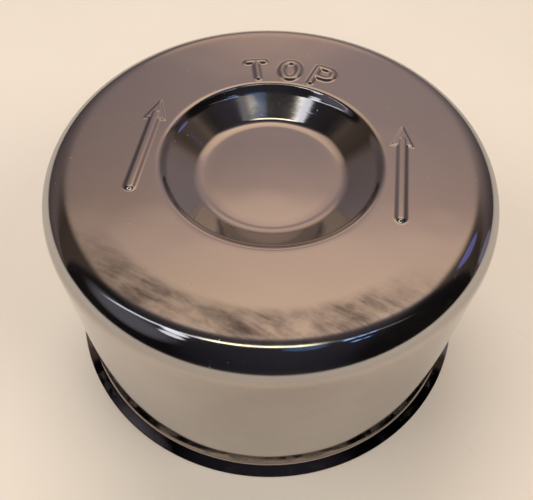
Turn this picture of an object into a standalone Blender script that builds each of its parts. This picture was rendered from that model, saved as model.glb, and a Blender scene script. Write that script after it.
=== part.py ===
"""Round air filter housing for a small engine, with its filter cartridge inside.

The lip of the pressed cover stands on z = 0 and the cover's axis is Z. The cover's
arrows point along +Y, the side that faces up when the housing hangs on a carburettor.
"""
import math

import bmesh
import bpy
from mathutils import Matrix, Vector

MM = 0.001
COLLECTION_NAME = "air_filter_housing"

# Fineness of the turned pieces, in steps round the axis
STEPS_LARGE = 64
STEPS_MEDIUM = 40
STEPS_SMALL = 16

# Air left between pieces that touch, and the reach of every drill
GAP = 0.3
DRILL_LENGTH = 8.0

# Cover: one pressed steel shell with an outward lip and a dished top
COVER_OUTER_R = 55.0
COVER_WALL = 0.9
COVER_TOP_Z = 61.5
SHOULDER_R = 8.0
LIP_OUTER_R = 57.7
DISH_RIM_R = 27.5
DISH_DEPTH = 6.1
DISH_SLOPE = 35.0
DISH_RIM_BEND_R = 3.0
DISH_FOOT_BEND_R = 4.2
DISH_CROWN = 0.4

# Raised arrows and raised word on the cover's flat top
BEAD_HEIGHT = 0.75
BEAD_SINK = 0.06
ARROW_X = 30.6
ARROW_TAIL_Y = -15.6
ARROW_TIP_Y = 14.2
ARROW_SHAFT_WIDTH = 2.9
ARROW_HEAD_WIDTH = 5.4
ARROW_HEAD_LENGTH = 7.0
LETTER_R = 31.4
LETTER_HEIGHT = 8.6
LETTER_WIDTH = 6.6
LETTER_STROKE = 1.9
LETTER_TURNS = (-15.0, 1.0, 17.0)

# Base pan: a shallow pan, open side down, that carries everything else
PAN_OUTER_R = 51.9
PAN_WALL = 1.0
PAN_TOP_Z = 10.5
PAN_BEND_R = 2.5
PAN_BORE_R = 15.0
SLOT_INNER_R = 44.0
SLOT_OUTER_R = 49.2
SLOT_SPAN = 20.0
SLOT_TURNS = (214.0, 242.0, 270.0, 298.0, 326.0)

# Outlet: flanged neck inside the pan, gasket below it, three screws through both
NECK_BORE_R = 14.5
NECK_OUTER_R = 15.7
NECK_TOP_Z = 20.0
FLANGE_OUTER_R = 26.2
FLANGE_BOTTOM_Z = 10.8
FLANGE_TOP_Z = 12.3
GASKET_INNER_R = 15.4
GASKET_OUTER_R = 27.0
GASKET_BOTTOM_Z = 8.0
GASKET_TOP_Z = 9.2
SCREW_CIRCLE_R = 20.8
SCREW_TURNS = (30.0, 150.0, 270.0)
SCREW_HOLE_R = 2.7
SCREW_SHANK_R = 2.35
SCREW_TIP_Z = 1.0
SCREW_HEAD_Z = 14.1
SCREW_HEAD_HEIGHT = 3.2
SCREW_COLLAR_HEIGHT = 0.9
SCREW_HEAD_R = 4.1
SCREW_HEX_FLATS = 6.6
WASHER_BOTTOM_Z = 12.6
WASHER_TOP_Z = 13.8
WASHER_INNER_R = 2.7
WASHER_OUTER_R = 4.2

# Leaf springs that grip the cover, one rivet each
SPRING_TURNS = (90.0, 210.0, 330.0)
SPRING_WIDTH = 8.0
SPRING_CLEARANCE = 0.55
SPRING_THICKNESS = 0.5
RIVET_Z = 7.0
RIVET_R = 1.0
RIVET_HOLE_R = 1.3
RIVET_HEAD_R = 1.9
RIVET_HEAD_HEIGHT = 0.7

# Filter cartridge: two moulded ends, two metal screens, pleated paper, foam sleeve
END_INNER_R = 29.3
END_OUTER_R = 38.6
LOWER_END_Z = (10.8, 14.3)
UPPER_END_Z = (56.8, 60.3)
MEDIA_Z = (14.6, 56.5)
INNER_SCREEN_R = 30.4
OUTER_SCREEN_R = 38.1
SCREEN_THICKNESS = 0.45
SCREEN_BAR = 2.4
SCREEN_WINDOWS = 16
SCREEN_ROWS = 3
MEDIA_INNER_R = 30.7
MEDIA_OUTER_R = 37.3
MEDIA_PLEATS = 48
MEDIA_THICKNESS = 0.5
FOAM_INNER_R = 39.0
FOAM_OUTER_R = 43.2


# ---------------------------------------------------------------- helpers

def clear_scene():
    for obj in list(bpy.data.objects):
        bpy.data.objects.remove(obj, do_unlink=True)


def new_collection(name, parent):
    made = bpy.data.collections.new(name)
    parent.children.link(made)
    return made


def make_material(name, colour, roughness, metallic=0.0):
    material = bpy.data.materials.new(name)
    material.use_nodes = True
    shader = material.node_tree.nodes["Principled BSDF"]
    shader.inputs["Base Color"].default_value = (*colour, 1.0)
    shader.inputs["Roughness"].default_value = roughness
    shader.inputs["Metallic"].default_value = metallic
    material.diffuse_color = (*colour, 1.0)
    return material


def add_object(name, mesh, collection, material=None):
    obj = bpy.data.objects.new(name, mesh)
    collection.objects.link(obj)
    if material is not None:
        mesh.materials.append(material)
    return obj


def mesh_from(name, bm):
    """Turn a bmesh in millimetres into a mesh in metres."""
    bmesh.ops.recalc_face_normals(bm, faces=bm.faces)
    bmesh.ops.scale(bm, vec=(MM, MM, MM), verts=bm.verts)
    mesh = bpy.data.meshes.new(name)
    bm.to_mesh(mesh)
    bm.free()
    return mesh


def thicken(obj, thickness, offset=0.0):
    """Give an open surface its thickness; offset 0 spreads it to both sides."""
    solidify = obj.modifiers.new("Thickness", 'SOLIDIFY')
    solidify.thickness = thickness * MM
    solidify.offset = offset
    solidify.use_even_offset = True
    return solidify


def arc(centre_r, centre_z, radius, start, end, count):
    """Points on a circular arc in the profile plane, both ends included."""
    points = []
    for i in range(count + 1):
        angle = math.radians(start + (end - start) * i / count)
        points.append((centre_r + radius * math.cos(angle),
                       centre_z + radius * math.sin(angle)))
    return points


def turned(name, profile, steps, collection, material=None, closed=False):
    """Revolve a profile of (radius, height) points round Z with a Screw modifier."""
    mesh = bpy.data.meshes.new(name)
    verts = [(r * MM, 0.0, z * MM) for r, z in profile]
    count = len(verts)
    edges = [(i, (i + 1) % count) for i in range(count if closed else count - 1)]
    mesh.from_pydata(verts, edges, [])
    obj = add_object(name, mesh, collection, material)
    screw = obj.modifiers.new("Turn", 'SCREW')
    screw.axis = 'Z'
    screw.angle = math.tau
    screw.steps = steps
    screw.render_steps = steps
    screw.use_merge_vertices = True
    screw.merge_threshold = 0.000005
    screw.use_smooth_shade = True
    return obj


def slab(name, outline, low, high, collection):
    """A flat face with the given outline, thickened between two heights."""
    bm = bmesh.new()
    middle = 0.5 * (low + high)
    bm.faces.new([bm.verts.new((x, y, middle)) for x, y in outline])
    obj = add_object(name, mesh_from(name, bm), collection)
    thicken(obj, high - low)
    return obj


def rod(name, radius, length, sides, collection):
    """A straight bar along Z, centred on its own origin."""
    bm = bmesh.new()
    bmesh.ops.create_cone(bm, cap_ends=True, segments=sides, radius1=radius, radius2=radius,
                          depth=length)
    return add_object(name, mesh_from(name, bm), collection)


def polar(radius, degrees):
    angle = math.radians(degrees)
    return radius * math.cos(angle), radius * math.sin(angle)


def cut(obj, cutter, name):
    cutter.hide_render = True
    cutter.display_type = 'WIRE'
    modifier = obj.modifiers.new(name, 'BOOLEAN')
    modifier.operation = 'DIFFERENCE'
    modifier.solver = 'EXACT'
    modifier.object = cutter


def join(obj, addition, name):
    addition.hide_render = True
    addition.display_type = 'WIRE'
    modifier = obj.modifiers.new(name, 'BOOLEAN')
    modifier.operation = 'UNION'
    modifier.solver = 'EXACT'
    modifier.object = addition


def move_to(obj, x, y, z=0.0):
    obj.location = (x * MM, y * MM, z * MM)


def drill_screw_holes(obj, name, height, tools):
    """The three screw holes, straight down through the sheet at the given height."""
    for i, turn in enumerate(SCREW_TURNS):
        tool = rod(f"{name}_{i + 1}", SCREW_HOLE_R, DRILL_LENGTH, STEPS_SMALL, tools)
        move_to(tool, *polar(SCREW_CIRCLE_R, turn), height)
        cut(obj, tool, f"Screw hole {i + 1}")


def drill_rivet_hole(obj, name, turn, tools):
    """A hole along a radius for one spring rivet."""
    tool = rod(name, RIVET_HOLE_R, DRILL_LENGTH, 12, tools)
    move_to(tool, *polar(PAN_OUTER_R, turn), RIVET_Z)
    tool.rotation_euler = (0.0, math.radians(90.0), math.radians(turn))
    cut(obj, tool, f"Rivet hole {name[-1]}")


def bead(name, path, width, tools, closed=False):
    """A raised bead of flattened round section along a path on the cover's top."""
    half = 0.5 * width
    points = [(Vector(p), 1.0) for p in path]
    if not closed:
        start, end = points[0][0], points[-1][0]
        ahead = (points[1][0] - start).normalized() * half
        back = (points[-2][0] - end).normalized() * half
        points[0] = (start + ahead, 1.0)
        points[-1] = (end + back, 1.0)
        points = ([(start, 0.3), (start + ahead * 0.25, 0.75)] + points
                  + [(end + back * 0.25, 0.75), (end, 0.3)])
    curve = bpy.data.curves.new(name, 'CURVE')
    curve.dimensions = '3D'
    curve.bevel_depth = half
    curve.bevel_resolution = 2
    curve.use_fill_caps = True
    spline = curve.splines.new('POLY')
    spline.points.add(len(points) - 1)
    spline.use_cyclic_u = closed
    for point, (place, size) in zip(spline.points, points):
        point.co = (place.x, place.y, 0.0, 1.0)
        point.radius = size
    tube = bpy.data.objects.new(name, curve)
    tools.objects.link(tube)
    bm = bmesh.new()
    bm.from_mesh(tube.to_mesh())
    bpy.data.objects.remove(tube)
    bmesh.ops.remove_doubles(bm, verts=bm.verts, dist=0.0001)
    bmesh.ops.scale(bm, vec=(1.0, 1.0, (BEAD_HEIGHT + BEAD_SINK) / half), verts=bm.verts)
    bmesh.ops.translate(bm, vec=(0.0, 0.0, COVER_TOP_Z - BEAD_SINK), verts=bm.verts)
    return add_object(name, mesh_from(name, bm), tools)


# ---------------------------------------------------------------- cover

def dish_floor_r():
    """Where the flat floor ends, from the rim, the depth, the slope and the two bends."""
    bends = (DISH_RIM_BEND_R + DISH_FOOT_BEND_R) * math.tan(math.radians(0.5 * DISH_SLOPE))
    return DISH_RIM_R - bends - DISH_DEPTH / math.tan(math.radians(DISH_SLOPE))


def dish_side(wall):
    """The dish from its axis out to its rim, at the given depth under the outer face."""
    floor_r = dish_floor_r()
    floor_z = COVER_TOP_Z - DISH_DEPTH
    points = [(0.0, floor_z + DISH_CROWN - wall), (0.6 * floor_r, floor_z + 0.3 - wall)]
    points += arc(floor_r, floor_z + DISH_FOOT_BEND_R, DISH_FOOT_BEND_R + wall,
                  -90, -90 + DISH_SLOPE, 3)
    points += arc(DISH_RIM_R, COVER_TOP_Z - DISH_RIM_BEND_R, DISH_RIM_BEND_R - wall,
                  90 + DISH_SLOPE, 90, 3)
    return points


def cover_profile():
    """Down the outside from the dish to the lip, then back up the inside."""
    wall = COVER_WALL
    shoulder_centre = (COVER_OUTER_R - SHOULDER_R, COVER_TOP_Z - SHOULDER_R)
    outer = dish_side(0.0) + arc(*shoulder_centre, SHOULDER_R, 90, 0, 7)
    outer += [(COVER_OUTER_R, 1.8), (COVER_OUTER_R + 0.25, 1.25),
              (COVER_OUTER_R + 0.8, 1.0), (LIP_OUTER_R - 0.3, 1.0),
              (LIP_OUTER_R, 0.75), (LIP_OUTER_R, 0.25), (LIP_OUTER_R - 0.3, 0.0)]
    inner_r = COVER_OUTER_R - wall
    inner = [(inner_r + 0.6, 0.0), (inner_r, 0.6)]
    inner += arc(*shoulder_centre, SHOULDER_R - wall, 0, 90, 6)
    return outer + inner + dish_side(wall)[::-1]


def letter_strokes():
    """Centre lines of the three letters, upright and centred on the origin."""
    across = 0.5 * (LETTER_WIDTH - LETTER_STROKE)
    up = 0.5 * (LETTER_HEIGHT - LETTER_STROKE)
    end = 0.5 * LETTER_STROKE
    letter_t = [([(-across - end, up), (across + end, up)], False),
                ([(0.0, up), (0.0, -up - end)], False)]
    letter_o = [([(across * math.cos(math.tau * i / 16), up * math.sin(math.tau * i / 16))
                  for i in range(16)], True)]
    bowl_r = 0.5 * up + 0.25
    bowl = [(-across, up)]
    bowl += [(across - bowl_r + bowl_r * math.cos(math.radians(a)),
              up - bowl_r + bowl_r * math.sin(math.radians(a))) for a in range(90, -91, -30)]
    bowl += [(-across, up - 2.0 * bowl_r)]
    letter_p = [([(-across, up + end), (-across, -up - end)], False), (bowl, False)]
    return letter_t, letter_o, letter_p


def add_raised_word(cover, tools):
    for number, (strokes, turn) in enumerate(zip(letter_strokes(), LETTER_TURNS)):
        angle = math.radians(-turn)
        place = Matrix.Rotation(angle, 2)
        for k, (path, closed) in enumerate(strokes):
            placed = [place @ Vector((x, y + LETTER_R)) for x, y in path]
            stroke = bead(f"letter_{number + 1}_{k + 1}", placed, LETTER_STROKE, tools, closed)
            join(cover, stroke, f"Letter {number + 1} stroke {k + 1}")


def add_raised_arrow(cover, tools, side):
    x = side * ARROW_X
    label = "right" if side > 0 else "left"
    neck_y = ARROW_TIP_Y - ARROW_HEAD_LENGTH
    shaft = bead(f"arrow_shaft_{label}", [(x, ARROW_TAIL_Y), (x, neck_y + 2.0)],
                 ARROW_SHAFT_WIDTH, tools)
    join(cover, shaft, f"Arrow shaft {label}")
    half = 0.5 * ARROW_HEAD_WIDTH
    blunt = 0.5
    outline = [(x - half, neck_y + blunt), (x - half + blunt, neck_y),
               (x + half - blunt, neck_y), (x + half, neck_y + blunt),
               (x + blunt, ARROW_TIP_Y), (x - blunt, ARROW_TIP_Y)]
    head = slab(f"arrow_head_{label}", outline, COVER_TOP_Z - 0.5 * COVER_WALL,
                COVER_TOP_Z + BEAD_HEIGHT - 0.05, tools)
    bevel = head.modifiers.new("Soften", 'BEVEL')
    bevel.width = 0.4 * MM
    bevel.segments = 1
    bevel.limit_method = 'ANGLE'
    join(cover, head, f"Arrow head {label}")


def build_cover(parts, tools):
    black = make_material("cover_paint", (0.012, 0.011, 0.012), 0.12)
    cover = turned("cover", cover_profile(), STEPS_LARGE, parts, black)
    for side in (-1, 1):
        add_raised_arrow(cover, tools, side)
    add_raised_word(cover, tools)
    return cover


# ---------------------------------------------------------------- base pan and outlet

def ring_profile(inner_r, outer_r, low, high, edge):
    """Rectangular ring section with chamfered corners, outer side first."""
    return [(inner_r + edge, high), (outer_r - edge, high), (outer_r, high - edge),
            (outer_r, low + edge), (outer_r - edge, low), (inner_r + edge, low),
            (inner_r, low + edge), (inner_r, high - edge)]


def slot_outline(turn):
    """Curved slot with rounded ends, centred on the given turn."""
    middle = 0.5 * (SLOT_INNER_R + SLOT_OUTER_R)
    half = 0.5 * (SLOT_OUTER_R - SLOT_INNER_R)
    reach = 0.5 * SLOT_SPAN - math.degrees(half / middle)
    points = [polar(SLOT_OUTER_R, turn + reach * (-1 + 2 * i / 4)) for i in range(5)]
    centre = Vector(polar(middle, turn + reach))
    for step in (45, 90, 135):
        points.append(tuple(centre + Vector(polar(half, turn + reach + step))))
    points += [polar(SLOT_INNER_R, turn + reach * (1 - 2 * i / 4)) for i in range(5)]
    centre = Vector(polar(middle, turn - reach))
    for step in (225, 270, 315):
        points.append(tuple(centre + Vector(polar(half, turn - reach + step))))
    return points


def build_base_pan(parts, tools):
    bend = (PAN_OUTER_R - PAN_BEND_R, PAN_TOP_Z - PAN_BEND_R)
    inner_r = PAN_OUTER_R - PAN_WALL
    profile = [(PAN_BORE_R, PAN_TOP_Z)] + arc(*bend, PAN_BEND_R, 90, 0, 4)
    profile += [(PAN_OUTER_R, 0.25), (PAN_OUTER_R - 0.25, 0.0), (inner_r + 0.25, 0.0),
                (inner_r, 0.25)]
    profile += arc(*bend, PAN_BEND_R - PAN_WALL, 0, 90, 3)
    profile += [(PAN_BORE_R, PAN_TOP_Z - PAN_WALL)]
    zinc = make_material("base_pan_steel", (0.42, 0.41, 0.38), 0.38, 1.0)
    pan = turned("base_pan", profile, STEPS_LARGE, parts, zinc, closed=True)
    for i, turn in enumerate(SLOT_TURNS):
        tool = slab(f"inlet_slot_{i + 1}", slot_outline(turn), PAN_TOP_Z - 3.0 * PAN_WALL,
                    PAN_TOP_Z + 2.0 * PAN_WALL, tools)
        cut(pan, tool, f"Inlet slot {i + 1}")
    drill_screw_holes(pan, "pan_screw_hole", PAN_TOP_Z, tools)
    for i, turn in enumerate(SPRING_TURNS):
        drill_rivet_hole(pan, f"pan_rivet_hole_{i + 1}", turn, tools)
    return pan


def build_outlet_flange(parts, tools):
    profile = [(NECK_BORE_R + 0.3, NECK_TOP_Z), (NECK_OUTER_R - 0.3, NECK_TOP_Z),
               (NECK_OUTER_R, NECK_TOP_Z - 0.3), (NECK_OUTER_R, FLANGE_TOP_Z + 1.2),
               (NECK_OUTER_R + 0.35, FLANGE_TOP_Z + 0.35), (NECK_OUTER_R + 1.2, FLANGE_TOP_Z),
               (FLANGE_OUTER_R - 0.3, FLANGE_TOP_Z), (FLANGE_OUTER_R, FLANGE_TOP_Z - 0.3),
               (FLANGE_OUTER_R, FLANGE_BOTTOM_Z), (NECK_BORE_R + 0.8, FLANGE_BOTTOM_Z),
               (NECK_BORE_R, FLANGE_BOTTOM_Z + 0.8), (NECK_BORE_R, NECK_TOP_Z - 0.3)]
    plated = make_material("outlet_plated_steel", (0.62, 0.56, 0.42), 0.30, 1.0)
    flange = turned("outlet_flange", profile, STEPS_MEDIUM, parts, plated, closed=True)
    drill_screw_holes(flange, "flange_screw_hole", FLANGE_TOP_Z, tools)
    return flange


def build_gasket(parts, tools):
    profile = [(GASKET_INNER_R, GASKET_TOP_Z), (GASKET_OUTER_R, GASKET_TOP_Z),
               (GASKET_OUTER_R, GASKET_BOTTOM_Z), (GASKET_INNER_R, GASKET_BOTTOM_Z)]
    fibre = make_material("gasket_fibre", (0.10, 0.085, 0.065), 0.85)
    gasket = turned("carburettor_gasket", profile, STEPS_MEDIUM, parts, fibre, closed=True)
    drill_screw_holes(gasket, "gasket_screw_hole", GASKET_TOP_Z, tools)
    return gasket


def build_screws(parts, tools):
    steel = make_material("screw_zinc", (0.55, 0.53, 0.48), 0.32, 1.0)
    collar_z = SCREW_HEAD_Z + SCREW_COLLAR_HEIGHT
    hexagon_height = SCREW_HEAD_HEIGHT - 0.5 * SCREW_COLLAR_HEIGHT
    profile = [(0.0, collar_z), (SCREW_HEAD_R - 0.4, collar_z), (SCREW_HEAD_R, collar_z - 0.4),
               (SCREW_HEAD_R, SCREW_HEAD_Z), (SCREW_SHANK_R, SCREW_HEAD_Z),
               (SCREW_SHANK_R, SCREW_TIP_Z + 0.7), (SCREW_SHANK_R - 0.7, SCREW_TIP_Z),
               (0.0, SCREW_TIP_Z)]
    for i, turn in enumerate(SCREW_TURNS):
        x, y = polar(SCREW_CIRCLE_R, turn)
        screw = turned(f"mounting_screw_{i + 1}", profile, STEPS_SMALL, parts, steel)
        hexagon = rod(f"screw_hexagon_{i + 1}", SCREW_HEX_FLATS / math.sqrt(3.0),
                      hexagon_height, 6, tools)
        move_to(screw, x, y)
        move_to(hexagon, x, y, SCREW_HEAD_Z + SCREW_HEAD_HEIGHT - 0.5 * hexagon_height)
        join(screw, hexagon, "Hexagon")


def build_lock_washers(parts):
    """Split rings: a flat C outline, extruded to both sides of its middle plane."""
    spring_steel = make_material("lock_washer_steel", (0.20, 0.20, 0.21), 0.40, 1.0)
    half_gap = 7.0
    turns = [half_gap + (360.0 - 2.0 * half_gap) * k / 18 for k in range(19)]
    outline = [polar(WASHER_OUTER_R, t) for t in turns]
    outline += [polar(WASHER_INNER_R, t) for t in reversed(turns)]
    for i, turn in enumerate(SCREW_TURNS):
        name = f"lock_washer_{i + 1}"
        curve = bpy.data.curves.new(name, 'CURVE')
        curve.dimensions = '2D'
        curve.fill_mode = 'BOTH'
        curve.extrude = 0.5 * (WASHER_TOP_Z - WASHER_BOTTOM_Z) * MM
        spline = curve.splines.new('POLY')
        spline.points.add(len(outline) - 1)
        spline.use_cyclic_u = True
        for point, (x, y) in zip(spline.points, outline):
            point.co = (x * MM, y * MM, 0.0, 1.0)
        washer = add_object(name, curve, parts, spring_steel)
        move_to(washer, *polar(SCREW_CIRCLE_R, turn), 0.5 * (WASHER_BOTTOM_Z + WASHER_TOP_Z))


# ---------------------------------------------------------------- cover springs

def spring_section():
    """Centre line of the bent strip in the radial plane, pad at the top."""
    pad_r = PAN_OUTER_R + GAP + 0.5 * SPRING_THICKNESS
    crown_r = COVER_OUTER_R - COVER_WALL - SPRING_CLEARANCE - 0.5 * SPRING_THICKNESS
    return [(pad_r, 9.2), (pad_r, 5.0), (crown_r - 0.25, 3.4), (crown_r, 2.7),
            (crown_r, 2.1), (crown_r - 0.6, 0.9)]


def build_cover_springs(parts, tools):
    strip = make_material("spring_steel", (0.33, 0.35, 0.40), 0.28, 1.0)
    half_width = Vector((0.0, 0.5 * SPRING_WIDTH, 0.0))
    for i, turn in enumerate(SPRING_TURNS):
        name = f"cover_spring_{i + 1}"
        bm = bmesh.new()
        line = [bm.verts.new(Vector((r, 0.0, z)) - half_width) for r, z in spring_section()]
        edges = [bm.edges.new(pair) for pair in zip(line, line[1:])]
        pulled = bmesh.ops.extrude_edge_only(bm, edges=edges)["geom"]
        bmesh.ops.translate(bm, vec=2.0 * half_width,
                            verts=[v for v in pulled if isinstance(v, bmesh.types.BMVert)])
        spring = add_object(name, mesh_from(name, bm), parts, strip)
        spring.rotation_euler.z = math.radians(turn)
        thicken(spring, SPRING_THICKNESS)
        drill_rivet_hole(spring, f"spring_rivet_hole_{i + 1}", turn, tools)


def build_rivets(parts):
    """Turned with a head at both ends, then laid along the radius."""
    steel = make_material("rivet_steel", (0.45, 0.44, 0.42), 0.35, 1.0)
    inner_face = PAN_OUTER_R - PAN_WALL - GAP
    outer_face = PAN_OUTER_R + SPRING_THICKNESS + 2.0 * GAP
    dome = 0.6 * RIVET_HEAD_HEIGHT
    profile = [(0.0, outer_face + RIVET_HEAD_HEIGHT),
               (0.55 * RIVET_HEAD_R, outer_face + RIVET_HEAD_HEIGHT),
               (RIVET_HEAD_R, outer_face + RIVET_HEAD_HEIGHT - dome),
               (RIVET_HEAD_R, outer_face), (RIVET_R, outer_face), (RIVET_R, inner_face),
               (RIVET_HEAD_R, inner_face), (RIVET_HEAD_R, inner_face - RIVET_HEAD_HEIGHT + dome),
               (0.55 * RIVET_HEAD_R, inner_face - RIVET_HEAD_HEIGHT),
               (0.0, inner_face - RIVET_HEAD_HEIGHT)]
    for i, turn in enumerate(SPRING_TURNS):
        rivet = turned(f"spring_rivet_{i + 1}", profile, 12, parts, steel)
        rivet.rotation_euler = (0.0, math.radians(90.0), math.radians(turn))
        move_to(rivet, 0.0, 0.0, RIVET_Z)


# ---------------------------------------------------------------- filter cartridge

def build_cartridge_ends(parts):
    rubber = make_material("cartridge_end_rubber", (0.03, 0.03, 0.032), 0.70)
    for name, (low, high) in (("cartridge_lower_end", LOWER_END_Z),
                              ("cartridge_upper_end", UPPER_END_Z)):
        turned(name, ring_profile(END_INNER_R, END_OUTER_R, low, high, 0.6), STEPS_MEDIUM,
               parts, rubber, closed=True)


def build_screen(name, outer_r, parts, material):
    """A thin tube, spun from an upright line, with rows of windows taken out of it."""
    low, high = MEDIA_Z
    columns = 2 * SCREEN_WINDOWS
    window = (high - low - SCREEN_BAR * (SCREEN_ROWS + 1)) / SCREEN_ROWS
    heights = [low]
    for k in range(SCREEN_ROWS):
        heights += [heights[-1] + SCREEN_BAR, heights[-1] + SCREEN_BAR + window]
    heights.append(high)
    bm = bmesh.new()
    line = [bm.verts.new((outer_r, 0.0, z)) for z in heights]
    edges = [bm.edges.new(pair) for pair in zip(line, line[1:])]
    bmesh.ops.spin(bm, geom=line + edges, cent=(0, 0, 0), axis=(0, 0, 1), angle=math.tau,
                   steps=columns, use_merge=True)
    windows = []
    for face in bm.faces:
        middle = face.calc_center_median()
        column = int(math.degrees(math.atan2(middle.y, middle.x)) % 360.0 * columns / 360.0)
        row = sum(middle.z > z for z in heights) - 1
        if column % 2 and row % 2:
            windows.append(face)
    bmesh.ops.delete(bm, geom=windows, context='FACES')
    screen = add_object(name, mesh_from(name, bm), parts, material)
    thicken(screen, SCREEN_THICKNESS, -1.0)
    return screen


def build_screens(parts):
    galvanised = make_material("screen_galvanised", (0.50, 0.51, 0.52), 0.42, 1.0)
    build_screen("inner_screen", INNER_SCREEN_R, parts, galvanised)
    build_screen("outer_screen", OUTER_SCREEN_R, parts, galvanised)


def build_media(parts):
    """Pleated paper: a zigzag ring with blunt folds, drawn up and given its thickness."""
    paper = make_material("filter_paper", (0.60, 0.47, 0.24), 0.80)
    low, high = MEDIA_Z
    pitch = 360.0 / MEDIA_PLEATS
    blunt = 0.14 * pitch
    crest_r = MEDIA_OUTER_R - 0.5 * MEDIA_THICKNESS
    root_r = MEDIA_INNER_R + 0.5 * MEDIA_THICKNESS
    bm = bmesh.new()
    folds = []
    for i in range(MEDIA_PLEATS):
        crest = i * pitch
        root = crest + 0.5 * pitch
        for radius, turn in ((crest_r, crest - blunt), (crest_r, crest + blunt),
                             (root_r, root - blunt), (root_r, root + blunt)):
            folds.append(bm.verts.new((*polar(radius, turn), low)))
    edges = [bm.edges.new(pair) for pair in zip(folds, folds[1:] + folds[:1])]
    drawn = bmesh.ops.extrude_edge_only(bm, edges=edges)["geom"]
    bmesh.ops.translate(bm, vec=(0.0, 0.0, high - low),
                        verts=[v for v in drawn if isinstance(v, bmesh.types.BMVert)])
    media = add_object("filter_media", mesh_from("filter_media", bm), parts, paper)
    thicken(media, MEDIA_THICKNESS)
    return media


def build_foam(parts):
    foam = make_material("precleaner_foam", (0.045, 0.045, 0.05), 0.95)
    profile = ring_profile(FOAM_INNER_R, FOAM_OUTER_R, LOWER_END_Z[0], UPPER_END_Z[1], 0.8)
    return turned("foam_precleaner", profile, STEPS_MEDIUM, parts, foam, closed=True)


def main():
    clear_scene()
    root = bpy.context.scene.collection
    parts = new_collection(COLLECTION_NAME, root)
    tools = new_collection("shaping_tools", root)
    build_cover(parts, tools)
    build_base_pan(parts, tools)
    build_outlet_flange(parts, tools)
    build_gasket(parts, tools)
    build_screws(parts, tools)
    build_lock_washers(parts)
    build_cover_springs(parts, tools)
    build_rivets(parts)
    build_cartridge_ends(parts)
    build_screens(parts)
    build_media(parts)
    build_foam(parts)
    tools.hide_render = True


main()
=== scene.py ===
# %% [markdown]
# # A round air filter housing, dressed for its portrait
#
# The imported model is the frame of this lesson: it says where every piece is and how it moves.
# Here each piece is modelled again, finely, in the place of its plain counterpart, and gets
# its real finish: gloss black paint, plated steel, moulded rubber, filter paper and foam.

# %% Load the frame
import math
import bmesh
import bpy
import numpy as np
from mathutils import Matrix, Vector


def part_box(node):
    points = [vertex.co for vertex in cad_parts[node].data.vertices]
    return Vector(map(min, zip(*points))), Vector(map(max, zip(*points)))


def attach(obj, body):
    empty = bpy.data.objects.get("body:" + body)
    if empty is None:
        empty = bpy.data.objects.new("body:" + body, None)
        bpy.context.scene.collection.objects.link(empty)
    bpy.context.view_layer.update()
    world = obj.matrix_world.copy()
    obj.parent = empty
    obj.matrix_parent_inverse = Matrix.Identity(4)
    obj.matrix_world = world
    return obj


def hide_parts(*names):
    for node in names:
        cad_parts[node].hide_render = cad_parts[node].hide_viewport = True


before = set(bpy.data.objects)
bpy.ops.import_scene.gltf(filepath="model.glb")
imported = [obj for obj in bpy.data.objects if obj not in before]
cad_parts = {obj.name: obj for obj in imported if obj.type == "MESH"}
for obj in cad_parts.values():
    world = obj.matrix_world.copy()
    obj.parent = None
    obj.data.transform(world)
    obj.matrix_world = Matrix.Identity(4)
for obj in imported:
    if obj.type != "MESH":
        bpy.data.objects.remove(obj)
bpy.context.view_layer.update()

# %% [markdown]
# ## Millimetres and corners
#
# A maker of small engine parts thinks in millimetres, so every size below is one, and `MM`
# turns it into Blender's metres. The sizes that other pieces depend on are not typed again:
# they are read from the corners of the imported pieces.

# %% Read the driving sizes from the frame
MM = 0.001


def corners(node):
    """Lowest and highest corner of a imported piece, in millimetres."""
    low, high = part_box(node)
    return low / MM, high / MM


LIP_R = corners("cover")[1].x
PAN_R = corners("base_pan")[1].x
PAN_TOP = corners("base_pan")[1].z
SLEEVE_R = corners("foam_precleaner")[1].x
END_R = corners("cartridge_upper_end")[1].x
LOWER_END = (corners("cartridge_lower_end")[0].z, corners("cartridge_lower_end")[1].z)
UPPER_END = (corners("cartridge_upper_end")[0].z, corners("cartridge_upper_end")[1].z)
MEDIA = (corners("filter_media")[0].z, corners("filter_media")[1].z)
FLANGE_R = corners("outlet_flange")[1].x
FLANGE_Z = (corners("outlet_flange")[0].z, corners("outlet_flange")[1].z)
print(f"lip radius {LIP_R:.1f} mm, pan radius {PAN_R:.1f} mm, cartridge radius {END_R:.1f} mm")

# %% [markdown]
# ## Drawing a section and spinning it
#
# Nearly every piece here is round, and in the workshop it would be spun, pressed or turned.
# So it is drawn the same way: one point is extruded from corner to corner to give half of the
# section, and the section is spun round the axis. Sheet metal never has a sharp corner, so
# `bent_line` swaps each corner for the arc that a press tool would leave.

# %% Helpers: select, draw and spin
def deselect_all():
    if bpy.context.object and bpy.context.object.mode != "OBJECT":
        bpy.ops.object.mode_set(mode="OBJECT")
    bpy.ops.object.select_all(action="DESELECT")


def only(piece):
    """Make a piece the only one selected, and active."""
    deselect_all()
    piece.select_set(True)
    bpy.context.view_layer.objects.active = piece


def begin(name, primitive, **where):
    """Add a primitive with nothing else selected, name it and open it in edit mode."""
    deselect_all()
    primitive(**where)
    piece = bpy.context.object
    piece.name = piece.data.name = name
    bpy.ops.object.mode_set(mode="EDIT")
    bpy.ops.mesh.select_mode(type="VERT")
    bpy.ops.mesh.select_all(action="SELECT")
    return piece


def select_faces(piece, wanted):
    """Select the faces whose middle and normal pass the test."""
    bpy.ops.mesh.select_mode(type="FACE")
    bpy.ops.mesh.select_all(action="DESELECT")
    mesh = bmesh.from_edit_mesh(piece.data)
    for face in mesh.faces:
        face.select = wanted(face.calc_center_median() / MM, face.normal)
    mesh.select_flush_mode()
    bmesh.update_edit_mesh(piece.data)


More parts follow.
